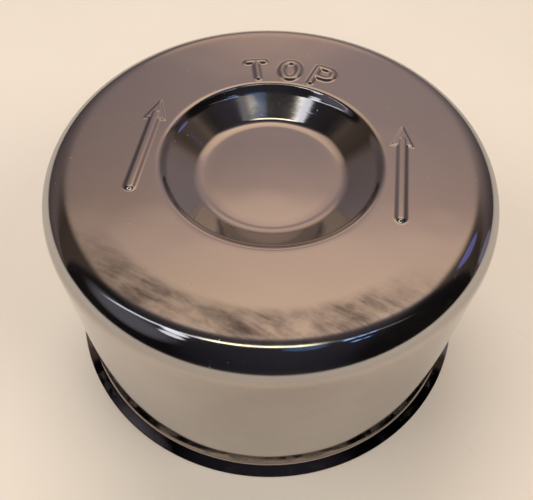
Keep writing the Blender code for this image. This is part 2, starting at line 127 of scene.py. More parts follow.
def select_edges(piece, wanted):
    """Select the edges whose two ends pass the test."""
    bpy.ops.mesh.select_mode(type="EDGE")
    bpy.ops.mesh.select_all(action="DESELECT")
    mesh = bmesh.from_edit_mesh(piece.data)
    for edge in mesh.edges:
        edge.select = wanted(edge.verts[0].co / MM, edge.verts[1].co / MM)
    mesh.select_flush_mode()
    bmesh.update_edit_mesh(piece.data)


def bent_line(points, steps=8):
    """Points of a section whose corners are (radius, height, bend radius)."""
    line = []
    for i, (r, z, bend) in enumerate(points):
        here = Vector((r, z))
        if not bend:
            line.append(here)
            continue
        back = (Vector(points[i - 1][:2]) - here).normalized()
        ahead = (Vector(points[i + 1][:2]) - here).normalized()
        half = 0.5 * back.angle(ahead)
        centre = here + (back + ahead).normalized() * (bend / math.sin(half))
        first = here + back * (bend / math.tan(half)) - centre
        last = here + ahead * (bend / math.tan(half)) - centre
        start = math.atan2(first.y, first.x)
        sweep = (math.atan2(last.y, last.x) - start + math.pi) % math.tau - math.pi
        for k in range(steps + 1):
            turn = start + sweep * k / steps
            line.append(centre + bend * Vector((math.cos(turn), math.sin(turn))))
    return line


def draw_section(name, line):
    """Half a section: one point, extruded from corner to corner in the XZ plane."""
    piece = begin(name, bpy.ops.mesh.primitive_plane_add, size=MM)
    bpy.ops.mesh.merge(type="CENTER")
    places = [Vector((r * MM, 0.0, z * MM)) for r, z in line]
    bpy.ops.transform.translate(value=places[0])
    for here, there in zip(places, places[1:]):
        bpy.ops.mesh.extrude_region_move(TRANSFORM_OT_translate={"value": there - here})
    return piece


def spin_section(steps):
    """Spin the drawn section once round Z and close the seam and the poles."""
    bpy.ops.mesh.select_all(action="SELECT")
    bpy.ops.mesh.remove_doubles(threshold=0.001 * MM)
    bpy.ops.mesh.spin(steps=steps, angle=math.tau, center=(0, 0, 0), axis=(0, 0, 1))
    bpy.ops.mesh.select_all(action="SELECT")
    bpy.ops.mesh.remove_doubles(threshold=0.005 * MM)
    bpy.ops.mesh.normals_make_consistent(inside=False)


def face_outwards():
    """Turn every face of the piece in edit mode outwards."""
    bpy.ops.mesh.select_all(action="SELECT")
    bpy.ops.mesh.normals_make_consistent(inside=False)


def apply_modifier(piece, name, kind, **settings):
    """Add one modifier, set it and apply it."""
    bpy.ops.object.mode_set(mode="OBJECT")
    bpy.context.view_layer.objects.active = piece
    modifier = piece.modifiers.new(name, kind)
    for setting, value in settings.items():
        setattr(modifier, setting, value)
    bpy.ops.object.modifier_apply(modifier=name)


def finish_piece(piece, body, material, slot, *nodes, smooth_under=35):
    """Shade the piece, give it its finish, put it on its body and hide what it stands for."""
    only(piece)
    bpy.ops.object.mode_set(mode="EDIT")
    bpy.ops.mesh.select_all(action="SELECT")
    bpy.ops.mesh.dissolve_degenerate(threshold=0.0005 * MM)
    bpy.ops.object.mode_set(mode="OBJECT")
    bpy.ops.object.shade_smooth_by_angle(angle=math.radians(smooth_under))
    piece.data.materials.clear()
    piece.data.materials.append(material)
    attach(piece, body)
    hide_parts(*nodes)
    triangles = sum(len(face.vertices) - 2 for face in piece.data.polygons)
    print(f"{piece.name}: {triangles} triangles, rides on {body}")


# %% [markdown]
# ## Wiring finishes
#
# A finish is a small machine of nodes. `node` adds one and plugs it in at once, so that a
# material below reads as a list of what happens to the surface.

# %% Helpers: node wiring
def node(tree, kind, inputs=None, **settings):
    """Add a shader node; inputs are numbers, colours or the sockets that feed them."""
    made = tree.nodes.new("ShaderNode" + kind)
    for setting, value in settings.items():
        setattr(made, setting, value)
    for socket, value in (inputs or {}).items():
        if isinstance(value, bpy.types.NodeSocket):
            tree.links.new(value, made.inputs[socket])
        else:
            made.inputs[socket].default_value = value
    return made


def calc(tree, operation, *values):
    """One Math node."""
    return node(tree, "Math", dict(enumerate(values)), operation=operation).outputs[0]


def times(tree, first, second):
    return calc(tree, "MULTIPLY", first, second)


def ramp_between(tree, value, low, high, to_low=0.0, to_high=1.0):
    """A soft step of a value between two limits."""
    made = node(tree, "MapRange", {"Value": value, "From Min": low, "From Max": high,
                                   "To Min": to_low, "To Max": to_high},
                interpolation_type="SMOOTHSTEP")
    return made.outputs["Result"]


def blend(tree, share, first, second):
    """Mix two colours; share 0 gives the first one."""
    made = node(tree, "Mix", data_type="RGBA")
    for socket, value in ((made.inputs[0], share), (made.inputs[6], first),
                          (made.inputs[7], second)):
        if isinstance(value, bpy.types.NodeSocket):
            tree.links.new(value, socket)
        else:
            socket.default_value = value
    return made.outputs[2]


def new_material(name, **sockets):
    """A Principled material; what is the same all over is set on the shader's own sockets."""
    material = bpy.data.materials.new(name)
    material.use_nodes = True
    shader = material.node_tree.nodes["Principled BSDF"]
    for socket, value in sockets.items():
        shader.inputs[socket.replace("_", " ")].default_value = value
    return material, material.node_tree, shader


def new_group(name, inputs, outputs):
    """An empty node group with named inputs (and their values) and outputs."""
    tree = bpy.data.node_groups.new(name, "ShaderNodeTree")
    for label, kind, value in inputs:
        socket = tree.interface.new_socket(label, in_out="INPUT", socket_type="NodeSocket" + kind)
        if value is not None:
            socket.default_value = value
    for label, kind in outputs:
        tree.interface.new_socket(label, in_out="OUTPUT", socket_type="NodeSocket" + kind)
    return tree, tree.nodes.new("NodeGroupInput").outputs, tree.nodes.new("NodeGroupOutput").inputs


def use_group(tree, group, **inputs):
    """Place a group in a material with its own values."""
    made = tree.nodes.new("ShaderNodeGroup")
    made.node_tree = group
    for label, value in inputs.items():
        socket = made.inputs[label.replace("_", " ")]
        if isinstance(value, bpy.types.NodeSocket):
            tree.links.new(value, socket)
        else:
            socket.default_value = value
    return made.outputs


# %% [markdown]
# ## Effects that several finishes share
#
# Dust, hairline scratches and rubbed rings turn up on every part of an old housing, so each is
# a node group. A group reads the place on the piece, in metres, and puts out a mask or a height;
# what the mask does to the colour or the gloss is decided in each material.

# %% Node group: specks of dust
def make_dust_specks():
    tree, given, result = new_group(
        "dust_specks", [("Place", "Vector", None), ("Speck Size", "Float", 1.0),
                        ("Amount", "Float", 0.5)], [("Mask", "Float")])
    scaled = node(tree, "VectorMath", {0: given["Place"], 3: 900.0}, operation="SCALE")
    cells = node(tree, "TexVoronoi", {"Vector": scaled.outputs[0], "Scale": 1.0,
                                      "Randomness": 1.0})
    lot = node(tree, "SeparateColor", {0: cells.outputs["Color"]})
    chosen = calc(tree, "LESS_THAN", lot.outputs[0], given["Amount"])
    reach = times(tree, calc(tree, "POWER", lot.outputs[1], 2.0), given["Speck Size"])
    near = calc(tree, "SUBTRACT", times(tree, reach, 0.42),
                cells.outputs["Distance"])
    dot = ramp_between(tree, near, 0.0, 0.08)
    tree.links.new(times(tree, dot, chosen), result["Mask"])
    return tree


DUST_SPECKS = make_dust_specks()

# %% Node group: hairline scratches
def make_hairlines():
    tree, given, result = new_group(
        "hairlines", [("Place", "Vector", None), ("Length", "Float", 12.0),
                      ("Turn", "Float", 0.0), ("Amount", "Float", 0.3)], [("Mask", "Float")])
    turned = node(tree, "VectorRotate", {"Vector": given["Place"], "Angle": given["Turn"]},
                  rotation_type="Z_AXIS")
    drift = node(tree, "TexNoise", {"Vector": turned.outputs[0], "Scale": 60.0, "Detail": 1.0})
    bent = node(tree, "VectorMath", {0: drift.outputs["Color"], 1: (0.004, 0.004, 0.004),
                                     2: turned.outputs[0]}, operation="MULTIPLY_ADD")
    across = calc(tree, "DIVIDE", 1000.0, given["Length"])
    stretch = node(tree, "CombineXYZ", {0: across, 1: 1600.0, 2: 1600.0})
    lines = node(tree, "VectorMath", {0: bent.outputs[0], 1: stretch.outputs[0]},
                 operation="MULTIPLY")
    cells = node(tree, "TexVoronoi", {"Vector": lines.outputs[0], "Scale": 1.0})
    lot = node(tree, "SeparateColor", {0: cells.outputs["Color"]})
    chosen = calc(tree, "LESS_THAN", lot.outputs[2], given["Amount"])
    thin = ramp_between(tree, cells.outputs["Distance"], 0.30, 0.10)
    tree.links.new(times(tree, thin, chosen), result["Mask"])
    return tree


HAIRLINES = make_hairlines()

# %% Node group: a ring or hoop round the axis
def make_ring_mask():
    tree, given, result = new_group(
        "ring_mask", [("Place", "Vector", None), ("Radius", "Float", 0.04),
                      ("Width", "Float", 0.004), ("Softness", "Float", 0.002)],
        [("Mask", "Float"), ("Radius", "Float")])
    flat = node(tree, "VectorMath", {0: given["Place"], 1: (1.0, 1.0, 0.0)},
                operation="MULTIPLY")
    radius = node(tree, "VectorMath", {0: flat.outputs[0]}, operation="LENGTH").outputs["Value"]
    off = calc(tree, "ABSOLUTE", calc(tree, "SUBTRACT", radius, given["Radius"]))
    past = calc(tree, "SUBTRACT", off, times(tree, given["Width"], 0.5))
    share = calc(tree, "DIVIDE", past, given["Softness"])
    tree.links.new(ramp_between(tree, share, 1.0, 0.0), result["Mask"])
    tree.links.new(radius, result["Radius"])
    return tree


RING_MASK = make_ring_mask()

# %% Node group: cloudy patches
def make_patches():
    tree, given, result = new_group(
        "patches", [("Place", "Vector", None), ("Size", "Float", 10.0),
                    ("Low", "Float", 0.4), ("High", "Float", 0.6)], [("Mask", "Float")])
    scale = calc(tree, "DIVIDE", 1000.0, given["Size"])
    cloud = node(tree, "TexNoise", {"Vector": given["Place"], "Scale": scale, "Detail": 5.0,
                                    "Roughness": 0.62})
    tree.links.new(ramp_between(tree, cloud.outputs["Fac"], given["Low"], given["High"]),
                   result["Mask"])
    return tree


PATCHES = make_patches()


def patches(tree, place, size, low, high):
    return use_group(tree, PATCHES, Place=place, Size=size, Low=low, High=high)["Mask"]


def hairlines(tree, place, length, turn, amount):
    return use_group(tree, HAIRLINES, Place=place, Length=length, Turn=turn,
                     Amount=amount)["Mask"]


def dust_specks(tree, place, size, amount):
    return use_group(tree, DUST_SPECKS, Place=place, Speck_Size=size, Amount=amount)["Mask"]


def plug_in(tree, shader, colour, roughness=None, height=None, strength=1.0, distance=0.0001):
    """Feed a shader its colour, its roughness and a bump that stands `distance` metres high."""
    tree.links.new(colour, shader.inputs["Base Color"])
    if roughness:
        tree.links.new(roughness, shader.inputs["Roughness"])
    if height:
        bump = node(tree, "Bump", {"Height": height, "Strength": strength, "Distance": distance})
        tree.links.new(bump.outputs["Normal"], shader.inputs["Normal"])


print("effects:", ", ".join(g.name for g in bpy.data.node_groups))

# %% [markdown]
# ## The camera
#
# The housing stands on its lip and is looked down on from the front, a little to the right of
# its own front line, through a 40 mm lens at about 190 mm. The small turn about the
# line of sight is the tilt of a hand-held camera.

# %% Set the camera
CAMERA_PLACE = Vector((11.9, -98.45, 163.1)) * MM
CAMERA_TURN = 7.35
CAMERA_PITCH = 35.3
CAMERA_TILT = 1.14


def set_camera():
    data = bpy.data.cameras.new("camera")
    data.lens = 40.0
    data.clip_start = 0.01
    camera = bpy.data.objects.new("camera", data)
    bpy.context.scene.collection.objects.link(camera)
    camera.matrix_world = (Matrix.Translation(CAMERA_PLACE)
                           @ Matrix.Rotation(math.radians(CAMERA_TURN), 4, "Z")
                           @ Matrix.Rotation(math.radians(CAMERA_PITCH), 4, "X")
                           @ Matrix.Rotation(math.radians(CAMERA_TILT), 4, "Z"))
    bpy.context.scene.camera = camera
    return camera


set_camera()
print(f"camera {CAMERA_PLACE.length / MM:.0f} mm from the middle of the foot")

# %% [markdown]
# ## The light
#
# Gloss black paint shows hardly any colour of its own: what the eye reads as its shape is the
# room, mirrored in it. So the light is set as a photographer sets it for black gloss: a broad
# warm glow behind the piece that climbs to the ceiling, a strip lamp overhead, a window on
# each side, and darkness on the camera's side. `ARC` runs from the horizon behind the piece
# (0) over the zenith (90) to the horizon on the camera's side (180).

# %% Choose the glow, the lamps and the strips
ROOM_TURN = 6.9
ROOM_STRENGTH = 0.52
ARC = [(0, (0.52, 0.42, 0.42)), (14, (0.66, 0.50, 0.49)), (30, (0.86, 0.63, 0.61)),
       (42, (0.92, 0.66, 0.60)), (50, (1.18, 0.80, 0.66)), (54, (1.75, 1.20, 0.92)),
       (59, (2.00, 1.38, 0.98)), (66, (2.28, 1.56, 1.10)), (75, (2.30, 1.62, 1.25)),
       (81, (0.50, 0.38, 0.33)), (86, (0.14, 0.11, 0.12)), (100, (0.065, 0.058, 0.075)),
       (150, (0.045, 0.042, 0.062)), (180, (0.04, 0.04, 0.05))]
BRIGHTEST = 2.5
PLAIN_BACKDROP = (0.80, 0.74, 0.68, 1.0)

# name: (arc, sideways share, half width in degrees, softness, colour)
LAMPS = {
    "low glow behind": (22, -0.02, 6.0, 12.0, (0.80, 0.46, 0.22)),
    "left window, upper pane": (105, -0.415, 3.0, 1.6, (2.8, 2.8, 3.0)),
    "left window, lower pane": (114, -0.475, 3.2, 1.6, (2.4, 2.4, 2.6)),
    "left sheen": (120, -0.74, 8.0, 14.0, (0.26, 0.24, 0.28)),
    "right blind 1": (103, 0.36, 1.1, 0.8, (1.2, 2.0, 3.5)),
    "right blind 2": (102, 0.41, 0.9, 0.7, (0.7, 1.4, 2.8)),
    "right blind 3": (101, 0.455, 0.8, 0.6, (0.6, 1.3, 3.0)),
    "right blind 4": (111, 0.43, 1.0, 0.7, (0.8, 1.4, 2.7)),
    "right blind 5": (110, 0.475, 0.8, 0.6, (0.5, 1.0, 2.1)),
    "right window top": (107, 0.17, 5.0, 2.0, (0.08, 0.20, 0.42)),
    "violet screen": (64, 0.72, 5.0, 1.5, (0.22, 0.24, 0.80)),
    "low blue screen": (11, 0.97, 5.5, 2.5, (0.30, 0.30, 0.50)),
}
# name: (arc, half width in degrees, sideways reach, colour)
STRIPS = {
    "strip lamp": (99.5, 2.2, (-0.24, 0.20), (6.6, 5.5, 3.8)),
    "strip lamp, far end": (100.5, 1.5, (-0.74, -0.20), (2.4, 2.4, 2.6)),
    "strip lamp, near end": (100.5, 1.0, (0.20, 0.62), (0.5, 0.46, 0.46)),
}

print(f"{len(ARC)} steps from back to front, {len(LAMPS)} lamps, {len(STRIPS)} strips")


# %% Wire the room light
def room_axes():
    """Back, right and up of the room, which is set square to the line of sight."""
    turn = math.radians(ROOM_TURN)
    back = Vector((-math.sin(turn), math.cos(turn), 0.0))
    return back, Vector((back.y, -back.x, 0.0)), Vector((0.0, 0.0, 1.0))


def room_direction(arc, sideways):
    back, right, up = room_axes()
    turn = math.radians(arc)
    level = math.sqrt(1.0 - sideways ** 2)
    return right * sideways + (back * math.cos(turn) + up * math.sin(turn)) * level


def light_room():
    world = bpy.data.worlds.new("soft_room")
    bpy.context.scene.world = world
    world.use_nodes = True
    tree = world.node_tree
    tree.nodes.clear()
    look = node(tree, "TexCoord").outputs["Generated"]
    back, right, up = room_axes()
    along, side, height = (node(tree, "VectorMath", {0: look, 1: axis},
                                operation="DOT_PRODUCT").outputs["Value"]
                           for axis in (back, right, up))
    arc = calc(tree, "DIVIDE", calc(tree, "ARCTAN2", height, along), math.pi)
    glow = node(tree, "ValToRGB", {"Fac": arc})
    stops = glow.color_ramp.elements
    stops.remove(stops[1])
    for i, (degrees, colour) in enumerate(ARC):
        stop = stops[0] if i == 0 else stops.new(degrees / 180.0)
        stop.position = degrees / 180.0
        stop.color = (*(c / BRIGHTEST for c in colour), 1.0)
    edges = times(tree, ramp_between(tree, side, -0.70, 0.05, 0.34, 1.0),
                 ramp_between(tree, side, 0.95, 0.15, 0.26, 1.0))
    far_side = ramp_between(tree, calc(tree, "ABSOLUTE", side), 0.44, 0.64)
    overhead = ramp_between(tree, arc, 40 / 180.0, 56 / 180.0)
    edges = times(tree, edges, calc(tree, "MULTIPLY_ADD", times(tree, far_side, overhead), -0.82, 1.0))
    total = node(tree, "VectorMath", {0: glow.outputs["Color"],
                                      3: times(tree, edges, BRIGHTEST)},
                 operation="SCALE").outputs[0]
    for name, (degrees, width, (left, right_end), colour) in STRIPS.items():
        half = width / 180.0
        off = calc(tree, "ABSOLUTE", calc(tree, "SUBTRACT", arc, degrees / 180.0))
        ends = times(tree, ramp_between(tree, side, left - 0.08, left + 0.08),
                    ramp_between(tree, side, right_end + 0.08, right_end - 0.08))
        strip = times(tree, ramp_between(tree, off, 1.5 * half, 0.6 * half), ends)
        total = node(tree, "VectorMath", {0: colour, 1: strip, 2: total},
                     operation="MULTIPLY_ADD", label=name).outputs[0]
    for name, (degrees, sideways, width, softness, colour) in LAMPS.items():
        facing = node(tree, "VectorMath", {0: look, 1: room_direction(degrees, sideways)},
                      operation="DOT_PRODUCT", label=name).outputs["Value"]
        spot = ramp_between(tree, facing, math.cos(math.radians(width + softness)),
                            math.cos(math.radians(width)))
        total = node(tree, "VectorMath", {0: colour, 1: spot, 2: total},
                     operation="MULTIPLY_ADD").outputs[0]
    room = node(tree, "Background", {"Color": total, "Strength": ROOM_STRENGTH})
    plain = node(tree, "Background", {"Color": PLAIN_BACKDROP, "Strength": 1.0})
    seen = node(tree, "LightPath").outputs["Is Camera Ray"]
    shown = node(tree, "MixShader", {0: seen, 1: room.outputs[0], 2: plain.outputs[0]})
    node(tree, "OutputWorld", {"Surface": shown.outputs[0]})
    return world


light_room()
bpy.context.scene.view_settings.view_transform = "Standard"
print("room light wired, plain to the camera")

# %% [markdown]
# ## Soft boxes and the table
#
# The room light is what the paint mirrors; four broad soft boxes, which it does not mirror,
# bring the table and the inner pieces up to an even brightness. The table is a pale laminate
# top: almost plain, with a faint cloudiness and a few old knife marks.

# %% Hang the soft boxes
def soft_box(name, place, size, power, colour):
    data = bpy.data.lights.new(name, "AREA")
    data.shape = "DISK"
    data.size = size
    data.energy = power
    data.color = colour
    lamp = bpy.data.objects.new(name, data)
    bpy.context.scene.collection.objects.link(lamp)
    lamp.location = place
    lamp.rotation_euler = (-Vector(place)).to_track_quat("-Z", "Y").to_euler()
    lamp.visible_glossy = False
    lamp.visible_camera = False
    return lamp


soft_box("soft_box_back", (-0.25, 0.75, 0.95), 0.9, 7.6, (1.0, 0.94, 0.87))
soft_box("soft_box_left", (-0.80, -0.25, 0.80), 0.7, 4.4, (1.0, 0.91, 0.81))
soft_box("soft_box_right", (0.85, -0.20, 0.75), 0.7, 5.2, (1.0, 0.90, 0.77))
soft_box("soft_box_front", (0.10, -0.85, 0.85), 0.8, 3.8, (1.0, 0.92, 0.88))

# %% Lay the table
TABLE_RADIUS = 2.4


def table_finish():
    material, tree, shader = new_material("pale_laminate", Roughness=0.55,
                                          Specular_IOR_Level=0.25)
    place = node(tree, "TexCoord").outputs["Object"]
    cloud = node(tree, "TexNoise", {"Vector": place, "Scale": 9.0, "Detail": 4.0})
    base = blend(tree, ramp_between(tree, cloud.outputs["Fac"], 0.35, 0.7),
                 (0.715, 0.680, 0.612, 1.0), (0.735, 0.699, 0.632, 1.0))
    marks = hairlines(tree, place, 60.0, 0.9, 0.05)
    worn = patches(tree, place, 45.0, 0.52, 0.66)
    marked = blend(tree, times(tree, times(tree, marks, worn), 0.35),
                   base, (0.50, 0.42, 0.36, 1.0))
    plug_in(tree, shader, marked)
    return material


def lay_table():
    table = begin("table", bpy.ops.mesh.primitive_circle_add, vertices=96,
                  radius=TABLE_RADIUS, fill_type="NGON", location=(0.0, 0.0, -0.03 * MM))
    bpy.ops.mesh.inset(thickness=0.5 * TABLE_RADIUS)
    bpy.ops.object.mode_set(mode="OBJECT")
    table.data.materials.append(table_finish())
    return table


lay_table()
print("table laid at the height of the lip's underside")

# %% [markdown]
# ## The cover: pressed in one piece
#
# The real cover is drawn from one sheet of steel: a can with a dished top, a broad soft
# shoulder and a lip turned outwards at the mouth. Its section is a handful of corners with
# bend radii, which is how a press tool is drawn. The dish drops steeply at its rim and more
# gently below, and the lip slopes down outwards. A cylinder with bevels could give the same
# shoulder, but the section keeps dish, wall and lip in one line with clean rings of faces.

# %% Draw and spin the cover's outer face
WALL_R = 55.0
COVER_TOP = 61.5
SHEET = 0.9
SHOULDER = 8.0
FOOT_BEND = 0.8
DISH_RIM_R = 27.5
DISH_DEPTH = 6.1
DISH_STEEP = (45.0, 1.55)
DISH_GENTLE = 32.0
RIM_BEND = 2.0
DISH_MIDDLE_BEND = 5.0
DISH_FOOT_BEND = 5.5
DISH_CROWN = 0.4
LIP_EDGE = 0.15
LIP_CORNER_Z = 2.75
LIP_RIM_Z = 0.74
COVER_STEPS = 192


def dish_corners():
    """Radius of the dish's three corners, before they are bent: rim, middle and foot."""
    steep, depth = math.radians(DISH_STEEP[0]), DISH_STEEP[1]
    rim = DISH_RIM_R - RIM_BEND * math.tan(0.5 * steep)
    middle = rim - depth / math.tan(steep)
    return rim, middle, middle - (DISH_DEPTH - depth) / math.tan(math.radians(DISH_GENTLE))


def cover_section():
    rim, middle, foot = dish_corners()
    floor_z = COVER_TOP - DISH_DEPTH
    floor_r = foot - DISH_FOOT_BEND * math.tan(math.radians(0.5 * DISH_GENTLE))
    crown = [(floor_r * k / 9, floor_z + DISH_CROWN * (1 - (k / 9) ** 2)) for k in range(9)]
    bends = [(floor_r, floor_z, 0), (foot, floor_z, DISH_FOOT_BEND),
             (middle, COVER_TOP - DISH_STEEP[1], DISH_MIDDLE_BEND), (rim, COVER_TOP, RIM_BEND),
             (WALL_R - SHOULDER - 1.0, COVER_TOP, 0)]
    edge = [(WALL_R - SHOULDER - 1.0, COVER_TOP, 0), (WALL_R, COVER_TOP, SHOULDER),
            (WALL_R, 6.0, 0)]
    foot_bend = [(WALL_R, 6.0, 0), (WALL_R, LIP_CORNER_Z, FOOT_BEND),
                 (LIP_R - 0.25, LIP_RIM_Z + 0.18, 0), (LIP_R, LIP_RIM_Z, 0)]
    return (crown + [tuple(p) for p in bent_line(bends, 9)]
            + [tuple(p) for p in bent_line(edge, 26)] + [tuple(p) for p in bent_line(foot_bend, 7)])


def cut_long_runs(piece):
    """Cut the flat top into rings a millimetre wide and the wall into a few hoops."""
    flat = (DISH_RIM_R - 0.5, WALL_R - SHOULDER)
    select_edges(piece, lambda a, b: min(a.x, b.x) > flat[0] and max(a.x, b.x) < flat[1]
                 and abs(a.x - b.x) > 5.0)
    bpy.ops.mesh.subdivide(number_cuts=18)
    select_edges(piece, lambda a, b: abs(a.z - b.z) > 20.0)
    bpy.ops.mesh.subdivide(number_cuts=5)
    bpy.ops.mesh.select_mode(type="VERT")


cover = draw_section("pressed_cover", cover_section())
cut_long_runs(cover)
spin_section(COVER_STEPS)
print(f"cover spun: {len(cover_section())} corners drawn, {COVER_STEPS} steps round")

# %% [markdown]
# ## The pressed marks: two arrows and the word that says which way is up
#
# The arrows and the plain word TOP are pressed up from below, so their sides are soft and the
# sheet stays one skin. The marks are drawn as strokes. The faces around them are cut fine,
# every point gets a weight from its distance to the nearest stroke, and a Displace modifier
# lifts the weighted points. Adding separate solid letters would leave sharp seams instead.

# %% Draw the strokes of the marks
MARK_HEIGHT = 0.52
ARROW_X = 30.6
ARROW_TAIL = -15.6
ARROW_TIP = 14.2
ARROW_WIDTH = 2.9
ARROW_HEAD = (4.5, 5.7)
LETTER_R = 32.1
LETTER_SIZE = (6.6, 8.6)
LETTER_STROKE = 2.0
LETTER_TURNS = {"T": -15.0, "O": 1.0, "P": 17.0}


def letter_lines():
    """Centre lines of the letters, upright and round the origin."""
    across = 0.5 * (LETTER_SIZE[0] - LETTER_STROKE)
    up = 0.5 * (LETTER_SIZE[1] - LETTER_STROKE)
    ring = [(across * math.cos(math.tau * i / 32), up * math.sin(math.tau * i / 32))
            for i in range(33)]
    bowl_r = 0.5 * up + 0.25
    bowl = [(across - bowl_r + bowl_r * math.cos(math.radians(a)),
             up - bowl_r + bowl_r * math.sin(math.radians(a))) for a in range(90, -91, -15)]
    return {"T": [[(-across, up), (across, up)], [(0.0, up), (0.0, -up)]],
            "O": [ring],
            "P": [[(-across, up), (-across, -up)],
                  [(-across, up)] + bowl + [(-across, up - 2.0 * bowl_r)]]}


def letter_strokes():
    """The letters' lines in their places on the arc, as one list of straight pieces."""
    pieces = []
    for letter, lines in letter_lines().items():
        turn = math.radians(-LETTER_TURNS[letter])
        for line in lines:
            placed = [Matrix.Rotation(turn, 2) @ Vector((x, y + LETTER_R)) for x, y in line]
            pieces += list(zip(placed, placed[1:]))
    return pieces


def distance_to(points, start, end):
    """Distance of many flat points to one straight piece."""
    start, end = np.array(start), np.array(end)
    run = end - start
    share = np.clip((points - start) @ run / max(run @ run, 1e-9), 0.0, 1.0)
    return np.linalg.norm(points - start - share[:, None] * run, axis=1)


def arrow_head_distance(points, x):
    """Distance of many flat points to an arrow's solid head, 0 inside it."""
    half, length = 0.5 * ARROW_HEAD[0], ARROW_HEAD[1]
    neck = ARROW_TIP - length
    slant = math.hypot(half, length)
    side = (np.abs(points[:, 0] - x) * length + (points[:, 1] - ARROW_TIP) * half) / slant
    return np.maximum(np.maximum(side, neck - points[:, 1]), 0.0)


def soft_rise(distance, full, none):
    """1 up to `full`, falling softly to 0 at `none`."""
    share = np.clip((distance - full) / (none - full), 0.0, 1.0)
    return 0.5 + 0.5 * np.cos(math.pi * share)


def mark_weight(points):
    """How far up each flat point is pressed, from 0 to 1."""
    letters = np.min([distance_to(points, a, b) for a, b in letter_strokes()], axis=0)
    half = 0.5 * LETTER_STROKE
    weight = soft_rise(letters, 0.0, half + 0.5)
    for x in (-ARROW_X, ARROW_X):
        reach = 0.5 * ARROW_WIDTH
        shaft = distance_to(points, (x, ARROW_TAIL + reach),
                            (x, ARROW_TIP - ARROW_HEAD[1] + 1.5))
        weight = np.maximum(weight, soft_rise(shaft, 0.25 * reach, reach + 0.25))
        weight = np.maximum(weight, soft_rise(arrow_head_distance(points, x), -0.45, 0.65))
    return weight


print(f"{len(letter_strokes())} straight pieces in the letters")

# %% Cut the faces fine where the marks go
MARK_CUTS = 4
ARROW_MARGIN = (3.9, 1.4)
WORD_BAND = (25.8, 37.2)
WORD_MARGIN = 9.0


def near_marks(middle, normal):
    """Faces of the top within reach of an arrow or of the word."""
    if normal.z < 0.6 or middle.z < COVER_TOP - 0.7:
        return False
    aside, along = ARROW_MARGIN
    arrow = (abs(abs(middle.x) - ARROW_X) < aside
             and ARROW_TAIL - along < middle.y < ARROW_TIP + along)
    turn = math.degrees(math.atan2(middle.x, middle.y))
    word = (WORD_BAND[0] < math.hypot(middle.x, middle.y) < WORD_BAND[1]
            and LETTER_TURNS["T"] - WORD_MARGIN < turn < LETTER_TURNS["P"] + WORD_MARGIN)
    return arrow or word


select_faces(cover, near_marks)
bpy.ops.mesh.subdivide(number_cuts=MARK_CUTS, quadcorner="INNERVERT", ngon=False)
print(f"cover cut to {len(bmesh.from_edit_mesh(cover.data).faces)} faces")

# %% Weigh the points, give the sheet its thickness, press the marks
def weigh_marks(piece):
    bpy.ops.object.mode_set(mode="OBJECT")
    group = piece.vertex_groups.new(name="pressed_up")
    places = np.empty(len(piece.data.vertices) * 3)
    piece.data.vertices.foreach_get("co", places)
    places = places.reshape(-1, 3) / MM
    weight = mark_weight(places[:, :2])
    weight[(places[:, 2] < COVER_TOP - 1.0) | (weight < 0.001)] = 0.0
    for i in np.flatnonzero(weight):
        group.add([int(i)], float(weight[i]), "REPLACE")
    return group.name


marks = weigh_marks(cover)
apply_modifier(cover, "Sheet thickness", "SOLIDIFY", thickness=SHEET * MM, offset=-1.0,
               use_even_offset=True)
apply_modifier(cover, "Press the marks", "DISPLACE", vertex_group=marks, direction="Z",
               strength=MARK_HEIGHT * MM, mid_level=0.0)
apply_modifier(cover, "Deburr the lip", "BEVEL", width=LIP_EDGE * MM, segments=3,
               limit_method="ANGLE", angle_limit=math.radians(60))
print("marks pressed", MARK_HEIGHT, "mm high in", SHEET, "mm sheet")

# %% [markdown]
# ## The cover's paint
#
# The paint is a stoved black enamel, smooth enough to mirror a lamp. It is never perfect:
# it flows in a faint orange peel, years of wiping leave hairlines, dust settles on the top,
# and where the cover rubs against a frame the front edge of the top has gone dull in smoky
# patches. The lip's edge is rubbed to a thin dull line. Two liberties are taken to make the
# mirrored room as bright as it looks on the real thing: the index of refraction is far above a
# paint's, and on the wall and the scuffs a metallic share lets the colour set the reflection.

# %% Mix the black enamel
# bands in metres, in which a mask rises from 0 to 1
TOP_BAND = (0.0545, 0.0605)
FRONT_BAND = (-0.024, -0.040)
LIP_BAND = (0.0030, 0.0018)
WALL_BAND = (0.0585, 0.0550)
WALL_RADII = (0.0450, 0.0500)
SCUFF_RING = {"Radius": 0.0452, "Width": 0.0036, "Softness": 0.0032}
PAINT = {
    "clean": (0.0075, 0.0068, 0.0075, 1.0),
    "hazed": (0.017, 0.0145, 0.0135, 1.0),
    "scuffed": (0.095, 0.086, 0.090, 1.0),
    "nicked": (0.16, 0.14, 0.13, 1.0),
    "dusty": (0.34, 0.29, 0.25, 1.0),
    "wall": (0.475, 0.430, 0.405, 1.0),
    "wall, smeared": (0.445, 0.400, 0.375, 1.0),
    "wall, nicked": (0.22, 0.19, 0.18, 1.0),
}


